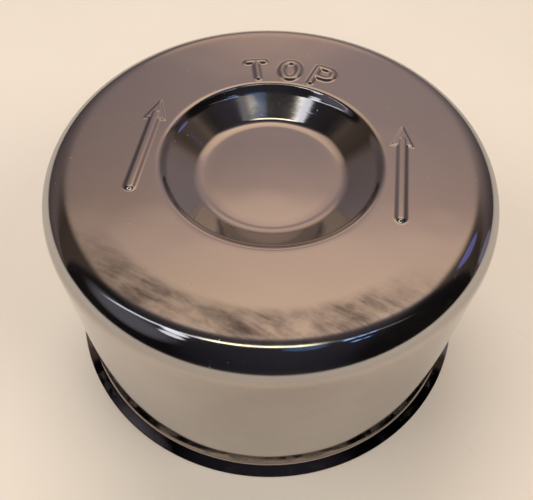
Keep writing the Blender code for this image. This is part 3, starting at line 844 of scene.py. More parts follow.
def enamel_finish():
    material, tree, shader = new_material("gloss_black_enamel", IOR=5.5, Metallic=0.0)
    place = node(tree, "TexCoord").outputs["Object"]
    part = node(tree, "SeparateXYZ", {0: place})
    y, z = part.outputs[1], part.outputs[2]
    top = ramp_between(tree, z, *TOP_BAND)
    wipes = hairlines(tree, place, 9.0, 0.35, 0.10)
    nicks = hairlines(tree, place, 3.5, 2.1, 0.05)
    specks = dust_specks(tree, place, 0.5, 0.22)
    haze = patches(tree, place, 26.0, 0.42, 0.68)

    ring = use_group(tree, RING_MASK, Place=place, **SCUFF_RING)
    rub = ring["Mask"]
    front = ramp_between(tree, y, *FRONT_BAND)
    smoke = patches(tree, place, 11.0, 0.22, 0.62)
    slanted = node(tree, "VectorRotate", {"Vector": place, "Angle": 0.35},
                   rotation_type="Z_AXIS")
    stretched = node(tree, "VectorMath", {0: slanted.outputs[0], 1: (0.22, 1.0, 1.0)},
                     operation="MULTIPLY")
    strands = patches(tree, stretched.outputs[0], 2.2, 0.30, 0.72)
    scuffed = times(tree, times(tree, rub, front),
                   times(tree, times(tree, smoke, top),
                        calc(tree, "MULTIPLY_ADD", strands, 0.65, 0.35)))
    lip = times(tree, ramp_between(tree, z, *LIP_BAND),
               patches(tree, place, 5.0, 0.45, 0.6))

    film = blend(tree, times(tree, haze, 0.6), PAINT["clean"], PAINT["hazed"])
    film = blend(tree, scuffed, film, PAINT["scuffed"])
    wall = times(tree, ramp_between(tree, z, *WALL_BAND),
                ramp_between(tree, ring["Radius"], *WALL_RADII))
    smears = patches(tree, place, 16.0, 0.38, 0.68)
    silvery = blend(tree, smears, PAINT["wall"], PAINT["wall, smeared"])
    silvery = blend(tree, times(tree, nicks, 0.5), silvery, PAINT["wall, nicked"])
    film = blend(tree, wall, film, silvery)
    film = blend(tree, times(tree, nicks, 0.35), film, PAINT["nicked"])
    film = blend(tree, times(tree, times(tree, specks, top), 0.30), film, PAINT["dusty"])
    tree.links.new(calc(tree, "MAXIMUM", times(tree, scuffed, 0.95), wall),
                   shader.inputs["Metallic"])

    rough = calc(tree, "MULTIPLY_ADD", haze, 0.030, 0.055)
    rough = calc(tree, "MULTIPLY_ADD", scuffed, 0.22, rough)
    rough = calc(tree, "MULTIPLY_ADD", wipes, 0.05, rough)
    rough = calc(tree, "MULTIPLY_ADD", times(tree, specks, top), 0.35, rough)
    rough = calc(tree, "MULTIPLY_ADD", lip, 0.20, rough)

    flow = node(tree, "TexNoise", {"Vector": place, "Scale": 62.0, "Detail": 1.0})
    peel = node(tree, "TexNoise", {"Vector": place, "Scale": 900.0, "Detail": 2.0})
    height = calc(tree, "MULTIPLY_ADD", peel.outputs["Fac"], 0.020, flow.outputs["Fac"])
    height = calc(tree, "MULTIPLY_ADD", specks, 0.05, height)
    height = calc(tree, "MULTIPLY_ADD", wipes, -0.012, height)
    height = calc(tree, "MULTIPLY_ADD", times(tree, strands, scuffed), 0.10, height)
    plug_in(tree, shader, film, rough, height, 1.0, 0.00012)
    return material


finish_piece(cover, "cover_body", enamel_finish(), "cover_paint", "cover", smooth_under=50)

# %% [markdown]
# ## Repeats, holes and finer tools
#
# Screws, washers, springs and rivets come in threes. Each is modelled once, out along the X
# axis, then copied with its own mesh and turned to its place, and the turn is applied, so that
# every finished piece sits at the origin. Holes are drilled as in the workshop, by taking a
# tool's shape away with a Boolean modifier, and the tool is thrown away.

# %% Helpers: copy round the axis, drill, deburr
def turn_to(piece, degrees):
    """Turn a piece round the housing's axis and apply the turn to its mesh."""
    only(piece)
    piece.rotation_euler.z = math.radians(degrees)
    bpy.ops.object.transform_apply(location=True, rotation=True, scale=True)


def move_out(piece, radius):
    """Move a piece out along the X axis and apply the move to its mesh."""
    only(piece)
    piece.location.x = radius * MM
    bpy.ops.object.transform_apply(location=True, rotation=False, scale=False)
    return piece


def copy_round(piece, name, turns):
    """One piece for each turn, each with its own mesh."""
    made = []
    for i in range(len(turns)):
        twin = piece if i == 0 else piece.copy()
        if i:
            twin.data = piece.data.copy()
            bpy.context.scene.collection.objects.link(twin)
        twin.name = twin.data.name = f"{name}_{i + 1}"
        made.append(twin)
    for twin, turn in zip(made, turns):
        turn_to(twin, turn)
    return made


def take_away(piece, tools):
    """Drill or trim a piece with one or several tools, which are then removed."""
    for tool in tools:
        apply_modifier(piece, "Drill", "BOOLEAN", object=tool, operation="DIFFERENCE",
                       solver="EXACT")
        bpy.data.objects.remove(tool)


def deburr(piece, width, over=50, segments=2):
    """Break the sharp edges, and keep the flat faces looking flat."""
    apply_modifier(piece, "Break edges", "BEVEL", width=width * MM, segments=segments,
                   limit_method="ANGLE", angle_limit=math.radians(over))
    apply_modifier(piece, "Flat faces stay flat", "WEIGHTED_NORMAL", keep_sharp=True)


def drill(name, radius, place, along_radius=False, sides=32, length=8.0):
    """A drill of the given radius, standing at a place or lying along the X axis."""
    tool = begin(name, bpy.ops.mesh.primitive_cylinder_add, vertices=sides, radius=radius * MM,
                 depth=length * MM, location=Vector(place) * MM,
                 rotation=(0.0, math.radians(90.0 if along_radius else 0.0), 0.0))
    bpy.ops.object.mode_set(mode="OBJECT")
    only(tool)
    bpy.ops.object.transform_apply(location=True, rotation=True, scale=True)
    return tool


SCREW_TURNS = (30.0, 150.0, 270.0)
SPRING_TURNS = (90.0, 210.0, 330.0)
SCREW_CIRCLE = 20.8
SCREW_HOLE_R = 2.7


def screw_drills():
    return copy_round(drill("screw_drill", SCREW_HOLE_R, (SCREW_CIRCLE, 0.0, 11.0), length=14.0),
                      "screw_drill", SCREW_TURNS)


# %% [markdown]
# ## Plated and plain metals
#
# All the small metal pieces share one recipe with different values: a metal colour, a second
# colour in cloudy patches for the plating, hairlines, and dull dirt where fingers and air
# leave it. One function mixes them, so that a learner sees which values make zinc, blued
# spring steel or yellow passivation.

# %% Mix the metals
def metal_finish(name, bright, clouded, roughness, cloud_size=6.0, dirt=0.35, grain=0.6):
    material, tree, shader = new_material(name, Metallic=1.0)
    place = node(tree, "TexCoord").outputs["Object"]
    cloud = patches(tree, place, cloud_size, 0.36, 0.66)
    grime = patches(tree, place, 3.0, 0.54, 0.74)
    lines = hairlines(tree, place, 5.0, 0.8, 0.30)
    specks = dust_specks(tree, place, 0.7, 0.20)
    colour = blend(tree, cloud, (*bright, 1.0), (*clouded, 1.0))
    colour = blend(tree, times(tree, grime, dirt), colour, (0.10, 0.085, 0.07, 1.0))
    colour = blend(tree, times(tree, specks, 0.4), colour, (0.28, 0.24, 0.20, 1.0))
    rough = calc(tree, "MULTIPLY_ADD", cloud, 0.10, roughness)
    rough = calc(tree, "MULTIPLY_ADD", grime, 0.25, rough)
    rough = calc(tree, "MULTIPLY_ADD", lines, 0.08, rough)
    fine = node(tree, "TexNoise", {"Vector": place, "Scale": 1400.0, "Detail": 2.0})
    height = calc(tree, "MULTIPLY_ADD", lines, -0.6, times(tree, fine.outputs["Fac"],
                                                         grain))
    plug_in(tree, shader, colour, rough, height, 0.5, 0.00005)
    return material


def zinc_sheet_finish():
    """Satin zinc with the large crystals that hot zinc leaves, and a little oil haze."""
    material, tree, shader = new_material("spangled_zinc", Metallic=1.0)
    place = node(tree, "TexCoord").outputs["Object"]
    crystals = node(tree, "TexVoronoi", {"Vector": place, "Scale": 230.0})
    tone = node(tree, "SeparateColor", {0: crystals.outputs["Color"]}).outputs[0]
    haze = patches(tree, place, 18.0, 0.42, 0.70)
    lines = hairlines(tree, place, 8.0, 1.2, 0.15)
    colour = blend(tree, tone, (0.56, 0.57, 0.575, 1.0), (0.72, 0.725, 0.72, 1.0))
    colour = blend(tree, times(tree, haze, 0.40), colour, (0.46, 0.43, 0.39, 1.0))
    rough = calc(tree, "MULTIPLY_ADD", tone, 0.12, 0.30)
    rough = calc(tree, "MULTIPLY_ADD", haze, 0.14, rough)
    height = calc(tree, "MULTIPLY_ADD", lines, -0.5, tone)
    plug_in(tree, shader, colour, rough, height, 0.35, 0.00004)
    return material


ZINC_SHEET = zinc_sheet_finish()
YELLOW_PLATE = metal_finish("yellow_passivation", (0.78, 0.66, 0.38), (0.66, 0.52, 0.36), 0.26)
BRIGHT_ZINC = metal_finish("bright_zinc", (0.74, 0.75, 0.76), (0.62, 0.62, 0.61), 0.24, 6.0, 0.2)
PHOSPHATED = metal_finish("phosphated_steel", (0.13, 0.13, 0.135), (0.19, 0.185, 0.18), 0.42,
                          2.0)
BLUED = metal_finish("blued_spring_steel", (0.17, 0.20, 0.30), (0.34, 0.33, 0.34), 0.26, 4.0)
PLAIN_STEEL = metal_finish("plain_rivet_steel", (0.50, 0.49, 0.47), (0.40, 0.38, 0.35), 0.32,
                           1.5)
METALS = (ZINC_SHEET, YELLOW_PLATE, BRIGHT_ZINC, PHOSPHATED, BLUED, PLAIN_STEEL)
print("metals:", ", ".join(metal.name for metal in METALS))

# %% [markdown]
# ## The base pan
#
# The base is a shallow pan pressed from galvanised sheet, open side down, with a bore for the
# outlet, three screw holes, a row of air slots on its low side and a shallow ring pressed in
# as the cartridge's seat. It is drawn and spun like the cover, thickened, and drilled.

# %% Press and pierce the base pan
PAN_SHEET = 1.0
PAN_BORE = 15.0
PAN_BEND = 2.5
SEAT = (28.4, 39.6, 0.35)
SLOT = (44.0, 49.2, 20.0)
SLOT_TURNS = (214.0, 242.0, 270.0, 298.0, 326.0)
RIVET_Z = 7.0
RIVET_HOLE_R = 1.3


def pan_section():
    inner, outer, depth = SEAT
    return bent_line([(PAN_BORE, PAN_TOP, 0), (inner, PAN_TOP, 0.6),
                      (inner + 0.8, PAN_TOP - depth, 0.6), (outer - 0.8, PAN_TOP - depth, 0.6),
                      (outer, PAN_TOP, 0.6), (PAN_R, PAN_TOP, PAN_BEND), (PAN_R, 0.0, 0)], 6)


def slot_punches():
    """A curved bar with round ends, one for each air slot."""
    inner, outer, span = SLOT
    half = 0.5 * (outer - inner)
    punch = draw_section("slot_punch", [(inner, PAN_TOP - 4.0), (outer, PAN_TOP - 4.0)])
    bpy.ops.mesh.select_all(action="SELECT")
    bpy.ops.mesh.spin(steps=14, angle=math.radians(span), center=(0, 0, 0), axis=(0, 0, 1))
    bpy.ops.mesh.select_all(action="SELECT")
    bpy.ops.mesh.remove_doubles(threshold=0.001 * MM)
    bpy.ops.mesh.extrude_region_move(TRANSFORM_OT_translate={"value": (0, 0, 8.0 * MM)})
    face_outwards()

    def upright_end(a, b):
        turn = abs(math.degrees(math.atan2(a.y, a.x)))
        radius = math.hypot(a.x, a.y)
        at_end = min(turn, abs(turn - span)) < 0.1
        return abs(a.z - b.z) > 4.0 and at_end and min(radius - inner, outer - radius) < 0.1

    select_edges(punch, upright_end)
    bpy.ops.mesh.bevel(offset=(half - 0.05) * MM, segments=7, affect="EDGES")
    bpy.ops.object.mode_set(mode="OBJECT")
    return copy_round(punch, "slot_punch", [turn - 0.5 * span for turn in SLOT_TURNS])


def press_base_pan():
    pan = draw_section("pressed_base_pan", pan_section())
    spin_section(144)
    apply_modifier(pan, "Sheet", "SOLIDIFY", thickness=PAN_SHEET * MM, offset=-1.0,
                   use_even_offset=True)
    rivet_drills = copy_round(drill("rivet_drill", RIVET_HOLE_R, (PAN_R, 0.0, RIVET_Z), True, 20),
                              "rivet_drill", SPRING_TURNS)
    take_away(pan, slot_punches() + screw_drills() + rivet_drills)
    deburr(pan, 0.12)
    finish_piece(pan, "base", ZINC_SHEET, "base_pan_steel", "base_pan")
    return pan


press_base_pan()

# %% [markdown]
# ## Outlet flange and gasket
#
# The outlet is a short neck on a round plate, turned or pressed from thicker steel and
# passivated yellow; the gasket below the pan is a punched ring of compressed fibre. Both are
# closed ring sections, spun and drilled with the same three holes.

# %% Turn the outlet flange
NECK = (14.5, 15.7, 20.0)


def ring_line(points, bend_steps):
    """A section that closes on itself, bent at every corner."""
    before, after = points[-1][:2] + (0,), points[0][:2] + (0,)
    line = bent_line([before] + points + [after], bend_steps)[1:-1]
    return line + line[:1]


def spin_ring(name, points, steps, bend_steps=4):
    """A ring, solid all the way, from its closed section."""
    piece = draw_section(name, ring_line(points, bend_steps))
    spin_section(steps)
    bpy.ops.object.mode_set(mode="OBJECT")
    return piece


def turn_outlet_flange():
    bore, outer, top = NECK
    low, high = FLANGE_Z[0], 12.3
    points = [(bore, top, 0.3), (outer, top, 0.3), (outer, high, 1.2), (FLANGE_R, high, 0.3),
              (FLANGE_R, low, 0.2), (bore, low, 0.8)]
    flange = spin_ring("plated_outlet_flange", points, 128)
    take_away(flange, screw_drills())
    deburr(flange, 0.15)
    finish_piece(flange, "base", YELLOW_PLATE, "outlet_plated_steel", "outlet_flange")
    return flange


turn_outlet_flange()

# %% Punch the fibre gasket
def fibre_finish():
    material, tree, shader = new_material("compressed_fibre", Specular_IOR_Level=0.3)
    place = node(tree, "TexCoord").outputs["Object"]
    cloud = patches(tree, place, 4.0, 0.35, 0.7)
    fibres = hairlines(tree, place, 2.5, 0.2, 0.5)
    crossing = hairlines(tree, place, 2.0, 1.7, 0.5)
    colour = blend(tree, cloud, (0.085, 0.075, 0.060, 1.0), (0.13, 0.115, 0.09, 1.0))
    colour = blend(tree, times(tree, fibres, 0.5), colour, (0.24, 0.21, 0.16, 1.0))
    rough = calc(tree, "MULTIPLY_ADD", cloud, 0.15, 0.72)
    plug_in(tree, shader, colour, rough, calc(tree, "ADD", fibres, crossing), 0.6, 0.00008)
    return material


def punch_gasket():
    low, high = corners("carburettor_gasket")[0].z, corners("carburettor_gasket")[1].z
    outer = corners("carburettor_gasket")[1].x
    points = [(15.4, high, 0.1), (outer, high, 0.1), (outer, low, 0.1), (15.4, low, 0.1)]
    gasket = spin_ring("fibre_gasket", points, 128, 2)
    take_away(gasket, screw_drills())
    deburr(gasket, 0.08)
    finish_piece(gasket, "base", fibre_finish(), "gasket_fibre", "carburettor_gasket")
    return gasket


punch_gasket()

# %% [markdown]
# ## Mounting screws and lock washers
#
# Three M5 screws with a flanged hexagon head hold pan, flange and gasket to the carburettor.
# The thread is pressed into a finely ringed shank with a Displace modifier: each point gets a
# weight that winds down the shank like a helix, 0.8 mm for each turn. The head is a six-sided
# cylinder whose corners are taken off by intersecting it with a turned cone.

# %% Make the screws
SCREW_R = 2.35
SCREW_TIP = corners("mounting_screw_1")[0].z
SCREW_HEAD_TOP = corners("mounting_screw_1")[1].z
SCREW_SEAT = 14.1
COLLAR = (4.1, 0.9)
HEX_FLATS = 6.6
THREAD_PITCH = 0.8
THREAD_DEPTH = 0.42


def weigh(piece, name, weight_at):
    """Give each point a weight worked out from its place in millimetres."""
    bpy.ops.object.mode_set(mode="OBJECT")
    group = piece.vertex_groups.new(name=name)
    for point in piece.data.vertices:
        share = weight_at(point.co / MM)
        if share > 0.001:
            group.add([point.index], share, "REPLACE")
    return name


def thread_weight(place):
    """1 in the thread's groove and 0 on its crest, winding round and down."""
    if math.hypot(place.x, place.y) < SCREW_R - 0.05 or place.z > SCREW_SEAT - 1.2:
        return 0.0
    turn = math.atan2(place.y, place.x) / math.tau
    groove = 0.5 + 0.5 * math.cos(math.tau * (place.z / THREAD_PITCH - turn))
    fade = min(1.0, (SCREW_SEAT - 1.2 - place.z) / 1.0)
    return groove * fade


def make_screw():
    collar_r, collar_height = COLLAR
    collar_z = SCREW_SEAT + collar_height
    line = bent_line([(0.0, collar_z, 0), (collar_r, collar_z, 0.35), (collar_r, SCREW_SEAT, 0.15),
                      (SCREW_R, SCREW_SEAT, 0.15), (SCREW_R, SCREW_TIP + 0.6, 0),
                      (SCREW_R - 0.6, SCREW_TIP, 0), (0.0, SCREW_TIP, 0)], 4)
    screw = draw_section("flange_head_screw", line)
    select_edges(screw, lambda a, b: abs(a.z - b.z) > 5.0)
    bpy.ops.mesh.subdivide(number_cuts=108)
    bpy.ops.mesh.select_mode(type="VERT")
    spin_section(32)
    thread = weigh(screw, "thread", thread_weight)
    apply_modifier(screw, "Cut the thread", "DISPLACE", vertex_group=thread, direction="NORMAL",
                   strength=-THREAD_DEPTH * MM, mid_level=0.0)
    height = SCREW_HEAD_TOP - SCREW_SEAT - 0.4
    hexagon = drill("hexagon", HEX_FLATS / math.sqrt(3.0),
                    (0.0, 0.0, SCREW_HEAD_TOP - 0.5 * height), sides=6, length=height)
    cone = draw_section("corner_cone", bent_line(
        [(0.0, SCREW_SEAT, 0), (5.2, SCREW_SEAT, 0), (5.2, SCREW_HEAD_TOP - 1.1, 0),
         (3.0, SCREW_HEAD_TOP, 0.3), (0.0, SCREW_HEAD_TOP, 0)], 3))
    spin_section(64)
    apply_modifier(hexagon, "Take the corners off", "BOOLEAN", object=cone,
                   operation="INTERSECT", solver="EXACT")
    bpy.data.objects.remove(cone)
    apply_modifier(screw, "Head on collar", "BOOLEAN", object=hexagon, operation="UNION",
                   solver="EXACT")
    bpy.data.objects.remove(hexagon)
    deburr(screw, 0.10, 55)
    return move_out(screw, SCREW_CIRCLE)


for number, screw in enumerate(copy_round(make_screw(), "flange_head_screw", SCREW_TURNS), 1):
    finish_piece(screw, "base", BRIGHT_ZINC, "screw_zinc", f"mounting_screw_{number}")

# %% Wind the split lock washers
WASHER_SPLIT = 14.0
WASHER_TWIST = 0.2


def make_lock_washer():
    """A square bar spun most of the way round, then lifted along its turn like a spring."""
    low, high = corners("lock_washer_1")[0].z, corners("lock_washer_1")[1].z - WASHER_TWIST
    square = [(2.7, low), (4.2, low), (4.2, high), (2.7, high), (2.7, low)]
    washer = draw_section("split_washer", square)
    bpy.ops.mesh.select_all(action="SELECT")
    bpy.ops.mesh.remove_doubles(threshold=0.001 * MM)
    bpy.ops.mesh.spin(steps=48, angle=math.radians(360.0 - WASHER_SPLIT), center=(0, 0, 0),
                      axis=(0, 0, 1))
    bpy.ops.mesh.select_all(action="SELECT")
    bpy.ops.mesh.remove_doubles(threshold=0.001 * MM)
    bpy.ops.mesh.fill_holes(sides=4)
    face_outwards()
    lift = weigh(washer, "lift", lambda place: (math.atan2(place.y, place.x) % math.tau)
                 / math.tau)
    apply_modifier(washer, "Spring twist", "DISPLACE", vertex_group=lift, direction="Z",
                   strength=WASHER_TWIST * MM, mid_level=0.0)
    deburr(washer, 0.12)
    return move_out(washer, SCREW_CIRCLE)


for number, washer in enumerate(copy_round(make_lock_washer(), "split_washer", SCREW_TURNS), 1):
    finish_piece(washer, "base", PHOSPHATED, "lock_washer_steel", f"lock_washer_{number}")

# %% [markdown]
# ## Leaf springs and rivets
#
# The cover is pushed on over three leaf springs on the pan's skirt and held by friction. Each
# spring is a strip of blued steel, bent so that its crown presses outwards, with one hollow
# rivet through it. The strip is a bent line drawn out sideways and thickened.

# %% Bend the leaf springs
SPRING_WIDTH = 8.0
SPRING_SHEET = 0.5
SPRING_LINE = [(52.45, 9.2, 0), (52.45, 4.6, 1.6), (53.38, 2.4, 0.8), (52.7, 0.9, 0)]


def make_leaf_spring():
    spring = draw_section("leaf_spring", bent_line(SPRING_LINE, 6))
    bpy.ops.mesh.select_all(action="SELECT")
    bpy.ops.transform.translate(value=(0, -0.5 * SPRING_WIDTH * MM, 0))
    bpy.ops.mesh.extrude_region_move(
        TRANSFORM_OT_translate={"value": (0, SPRING_WIDTH * MM, 0)})
    select_edges(spring, lambda a, b: abs(a.y - b.y) > 4.0)
    bpy.ops.mesh.subdivide(number_cuts=8)
    face_outwards()
    apply_modifier(spring, "Strip", "SOLIDIFY", thickness=SPRING_SHEET * MM, offset=0.0,
                   use_even_offset=True)
    take_away(spring, [drill("rivet_drill", RIVET_HOLE_R, (52.45, 0.0, RIVET_Z), True, 20)])
    deburr(spring, 0.10)
    return spring


for number, spring in enumerate(copy_round(make_leaf_spring(), "leaf_spring", SPRING_TURNS), 1):
    finish_piece(spring, "base", BLUED, "spring_steel", f"cover_spring_{number}")

# %% Set the rivets
RIVET = (1.0, 1.9, 0.7)
RIVET_FACES = (50.6, 53.0)


def make_rivet():
    """Turned along Z with a domed head at each end, then laid along the X axis."""
    shank, head, dome = RIVET
    inner, outer = RIVET_FACES
    line = bent_line([(0.0, inner - dome, 0), (0.45, inner - dome, 0), (0.5, inner - 0.35, 0.1),
                      (0.85, inner - dome, 0.15), (head, inner - 0.15, 0.35), (head, inner, 0.05),
                      (shank, inner, 0), (shank, outer, 0), (head, outer, 0.05),
                      (head, outer + 0.15, 0.35), (0.8, outer + dome, 0.6),
                      (0.0, outer + dome, 0)], 4)
    rivet = draw_section("domed_rivet", [(r, z - inner) for r, z in line])
    spin_section(36)
    bpy.ops.object.mode_set(mode="OBJECT")
    only(rivet)
    rivet.rotation_euler.y = math.radians(90.0)
    rivet.location = (inner * MM, 0.0, RIVET_Z * MM)
    bpy.ops.object.transform_apply(location=True, rotation=True, scale=True)
    return rivet


for number, rivet in enumerate(copy_round(make_rivet(), "domed_rivet", SPRING_TURNS), 1):
    finish_piece(rivet, "base", PLAIN_STEEL, "rivet_steel", f"spring_rivet_{number}")

# %% [markdown]
# ## The filter cartridge
#
# The cartridge is a sandwich: pleated, resin-treated paper between two perforated tubes of
# galvanised sheet, with a rubber ring moulded on at each end. The rings seal against pan and
# cover with two low ribs each.

# %% Mould the rubber ends
RIB = 0.35


def rubber_finish():
    material, tree, shader = new_material("moulded_rubber", Specular_IOR_Level=0.45)
    place = node(tree, "TexCoord").outputs["Object"]
    bloom = patches(tree, place, 8.0, 0.40, 0.72)
    specks = dust_specks(tree, place, 0.9, 0.35)
    colour = blend(tree, times(tree, bloom, 0.6), (0.022, 0.022, 0.024, 1.0),
                   (0.060, 0.057, 0.054, 1.0))
    colour = blend(tree, times(tree, specks, 0.5), colour, (0.22, 0.19, 0.16, 1.0))
    grain = node(tree, "TexNoise", {"Vector": place, "Scale": 2200.0, "Detail": 2.0})
    plug_in(tree, shader, colour, calc(tree, "MULTIPLY_ADD", bloom, 0.25, 0.48),
            grain.outputs["Fac"], 0.5, 0.00006)
    return material


def end_points(low, high, sealing):
    """Corners of an end ring with two ribs on its sealing face, outer side first."""
    inner = corners("cartridge_lower_end")[1].x - 9.3
    points = [(inner, high, 0.5), (END_R, high, 0.6), (END_R, low, 0.6), (inner, low, 0.5)]
    ribs = []
    for middle in (inner + 3.0, END_R - 3.0):
        ribs += [(middle - 0.9, -RIB, 0.25), (middle - 0.4, 0.0, 0.2), (middle + 0.4, 0.0, 0.2),
                 (middle + 0.9, -RIB, 0.25)]
    if sealing == "up":
        top = [(r, high + z, bend) for r, z, bend in ribs]
        return [(inner, high - RIB, 0.5)] + top + [(END_R, high - RIB, 0.6)] + points[2:]
    bottom = [(r, low - z, bend) for r, z, bend in reversed(ribs)]
    return points[:2] + [(END_R, low + RIB, 0.6)] + bottom + [(inner, low + RIB, 0.5)]


rubber = rubber_finish()
for name, node_name, (low, high), sealing in (
        ("moulded_lower_end", "cartridge_lower_end", LOWER_END, "down"),
        ("moulded_upper_end", "cartridge_upper_end", UPPER_END, "up")):
    end = spin_ring(name, end_points(low, high, sealing), 144, 3)
    finish_piece(end, "cartridge", rubber, "cartridge_end_rubber", node_name)

# %% [markdown]
# ## Perforated tubes
#
# The two tubes are rolled from perforated sheet. The holes come from a trick worth knowing:
# a plain tube is cut into a grid, every other crossing point is bevelled, which opens a
# square face there, and those faces are deleted. Subdivision then turns each square hole
# into a round one, and the sheet gets its thickness last.

# %% Perforate the screens
SCREEN_SHEET = 0.45
HOLE_REACH = 1.62


def near_crossing(place, pitch, columns, low):
    """Row and column of the nearest crossing point, and how far off it is in cells."""
    row = (place.z - low) / pitch
    column = math.atan2(place.y, place.x) / math.tau * columns
    off = abs(row - round(row)) + abs(column - round(column))
    return round(row), round(column), off


def perforated_tube(name, outer_r, columns, rows):
    low, high = MEDIA
    pitch = (high - low) / rows
    tube = begin(name, bpy.ops.mesh.primitive_cylinder_add, vertices=columns,
                 radius=outer_r * MM, depth=(high - low) * MM, end_fill_type="NOTHING",
                 location=(0.0, 0.0, 0.0))
    bpy.ops.transform.translate(value=(0, 0, 0.5 * (low + high) * MM))
    select_edges(tube, lambda a, b: abs(a.z - b.z) > 4.0)
    bpy.ops.mesh.subdivide(number_cuts=rows - 1)
    bpy.ops.mesh.select_mode(type="VERT")
    mesh = bmesh.from_edit_mesh(tube.data)
    for point in mesh.verts:
        row, column, _ = near_crossing(point.co / MM, pitch, columns, low)
        point.select = 0 < row < rows and (row + column) % 2 == 0
    mesh.select_flush_mode()
    bmesh.update_edit_mesh(tube.data)
    bpy.ops.mesh.bevel(offset=HOLE_REACH * MM, segments=1, affect="VERTICES")

    def is_hole(middle, normal):
        row, column, off = near_crossing(middle, pitch, columns, low)
        return 0 < row < rows and (row + column) % 2 == 0 and off < 0.2

    select_faces(tube, is_hole)
    bpy.ops.mesh.delete(type="FACE")
    apply_modifier(tube, "Round the holes", "SUBSURF", levels=1, render_levels=1)
    apply_modifier(tube, "Sheet", "SOLIDIFY", thickness=SCREEN_SHEET * MM, offset=-1.0,
                   use_even_offset=True)
    print(f"{name}: {columns * (rows - 1) // 2} holes")
    return tube


outer_screen = perforated_tube("perforated_outer_screen", corners("outer_screen")[1].x, 96, 17)
finish_piece(outer_screen, "cartridge", ZINC_SHEET, "screen_galvanised", "outer_screen")
inner_screen = perforated_tube("perforated_inner_screen", corners("inner_screen")[1].x, 76, 17)
finish_piece(inner_screen, "cartridge", ZINC_SHEET, "screen_galvanised", "inner_screen")

# %% [markdown]
# ## Pleated paper
#
# The paper is folded into 48 pleats. A circle with four points for each pleat is pulled out
# at the crests and in at the roots, drawn up in steps, and its folds are rounded with a bevel.
# A little random play keeps it from looking like plastic.

# %% Fold the paper
PLEATS = 48
MEDIA_R = (30.7, 37.3)
PAPER = 0.45


def paper_finish():
    material, tree, shader = new_material("resin_treated_paper", Specular_IOR_Level=0.25)
    place = node(tree, "TexCoord").outputs["Object"]
    crest = use_group(tree, RING_MASK, Place=place, Radius=0.0375, Width=0.0008,
                      Softness=0.0016)["Mask"]
    cloud = patches(tree, place, 5.0, 0.36, 0.66)
    colour = blend(tree, cloud, (0.62, 0.48, 0.24, 1.0), (0.54, 0.40, 0.19, 1.0))
    colour = blend(tree, times(tree, crest, 0.55), colour, (0.24, 0.19, 0.13, 1.0))
    fibre = node(tree, "TexNoise", {"Vector": place, "Scale": 1700.0, "Detail": 4.0})
    plug_in(tree, shader, colour, calc(tree, "MULTIPLY_ADD", cloud, 0.12, 0.74),
            fibre.outputs["Fac"], 0.6, 0.00012)
    return material


def fold_paper():
    low, high = MEDIA
    crest, root = MEDIA_R[1] - 0.5 * PAPER, MEDIA_R[0] + 0.5 * PAPER
    paper = begin("folded_paper", bpy.ops.mesh.primitive_circle_add, vertices=4 * PLEATS,
                  radius=crest * MM, fill_type="NOTHING", location=(0.0, 0.0, 0.0))
    bpy.ops.transform.translate(value=(0, 0, low * MM))
    bpy.ops.mesh.select_mode(type="VERT")
    bpy.ops.mesh.select_all(action="DESELECT")
    mesh = bmesh.from_edit_mesh(paper.data)
    for point in mesh.verts:
        step = round(math.atan2(point.co.y, point.co.x) / math.tau * 4 * PLEATS)
        point.select = step % 4 >= 2
    mesh.select_flush_mode()
    bmesh.update_edit_mesh(paper.data)
    share = root / crest
    bpy.ops.transform.resize(value=(share, share, 1.0), center_override=(0, 0, 0))
    bpy.ops.mesh.select_all(action="SELECT")
    bpy.ops.mesh.extrude_region_move(TRANSFORM_OT_translate={"value": (0, 0, (high - low) * MM)})
    select_edges(paper, lambda a, b: abs(a.z - b.z) > 4.0)
    bpy.ops.mesh.subdivide(number_cuts=11)
    bpy.ops.mesh.select_mode(type="VERT")
    face_outwards()
    bpy.ops.transform.vertex_random(offset=0.07 * MM, seed=4)
    select_edges(paper, lambda a, b: abs(a.z - b.z) > 1.0)
    bpy.ops.mesh.bevel(offset=0.28 * MM, segments=2, affect="EDGES")
    apply_modifier(paper, "Paper", "SOLIDIFY", thickness=PAPER * MM, offset=0.0,
                   use_even_offset=False)
    finish_piece(paper, "cartridge", paper_finish(), "filter_paper", "filter_media",
                 smooth_under=40)
    return paper


fold_paper()

# %% [markdown]
# ## The foam sleeve
#
# The pre-cleaner is a strip of open-cell foam glued into a sleeve. Its pores are real dents:
# a finely cut ring is displaced with a Voronoi texture for the cells and a cloud texture for
# the lumps, and one seam is pressed in where the strip's ends meet.

# %% Cut the foam and dent its pores
FOAM_SEAM = 128.0
FOAM_CUTS = 56


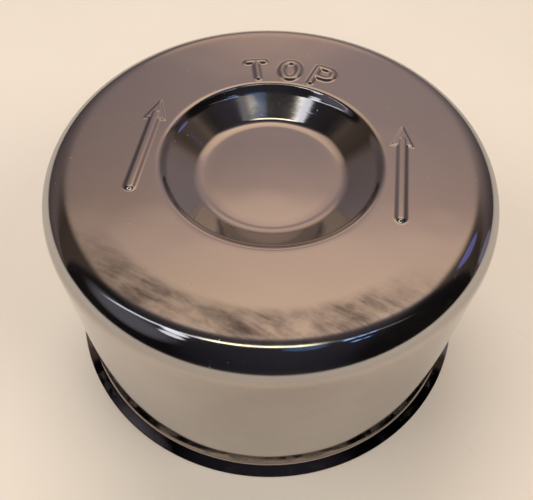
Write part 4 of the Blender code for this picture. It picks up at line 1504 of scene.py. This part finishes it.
def foam_finish():
    material, tree, shader = new_material("open_cell_foam", Specular_IOR_Level=0.2,
                                          Roughness=0.9, Sheen_Weight=0.15)
    place = node(tree, "TexCoord").outputs["Object"]
    cells = node(tree, "TexVoronoi", {"Vector": place, "Scale": 1100.0})
    pore_depth_and_shade = ramp_between(tree, cells.outputs["Distance"], 0.15, 0.60)
    dusty = patches(tree, place, 14.0, 0.44, 0.70)
    # Painted shade: the colour is darkest in the middle of each Voronoi cell, in the pore's hollow,
    # and the same mask dents the bump there.
    colour = blend(tree, pore_depth_and_shade, (0.018, 0.018, 0.020, 1.0), (0.075, 0.075, 0.080, 1.0))
    colour = blend(tree, times(tree, dusty, 0.35), colour, (0.12, 0.10, 0.08, 1.0))
    plug_in(tree, shader, colour, None, pore_depth_and_shade, 0.8, 0.0004)
    return material


def foam_texture(kind, size):
    texture = bpy.data.textures.new(f"foam_{kind.lower()}", kind)
    texture.noise_scale = size * MM
    return texture


def seam_weight(place):
    turn = math.degrees(math.atan2(place.y, place.x)) % 360.0
    return max(0.0, 1.0 - abs(turn - FOAM_SEAM) / 1.2)


def cut_foam_sleeve():
    low, high = corners("foam_precleaner")[0].z, corners("foam_precleaner")[1].z
    inner, outer = 39.25, SLEEVE_R - 0.25
    points = [(inner, high - 0.25, 0.8), (outer, high - 0.25, 0.8), (outer, low + 0.25, 0.8),
              (inner, low + 0.25, 0.8)]
    sleeve = draw_section("foam_sleeve", ring_line(points, 3))
    select_edges(sleeve, lambda a, b: abs(a.z - b.z) > 10.0)
    bpy.ops.mesh.subdivide(number_cuts=FOAM_CUTS)
    bpy.ops.mesh.select_mode(type="VERT")
    spin_section(300)
    seam = weigh(sleeve, "seam", seam_weight)
    apply_modifier(sleeve, "Lumps", "DISPLACE", texture=foam_texture("CLOUDS", 7.0),
                   texture_coords="LOCAL", strength=0.35 * MM, mid_level=0.5)
    apply_modifier(sleeve, "Cells", "DISPLACE", texture=foam_texture("VORONOI", 1.3),
                   texture_coords="LOCAL", strength=0.30 * MM, mid_level=0.5)
    apply_modifier(sleeve, "Seam", "DISPLACE", vertex_group=seam, direction="NORMAL",
                   strength=-0.30 * MM, mid_level=0.0)
    finish_piece(sleeve, "precleaner", foam_finish(), "precleaner_foam", "foam_precleaner",
                 smooth_under=60)
    return sleeve


cut_foam_sleeve()
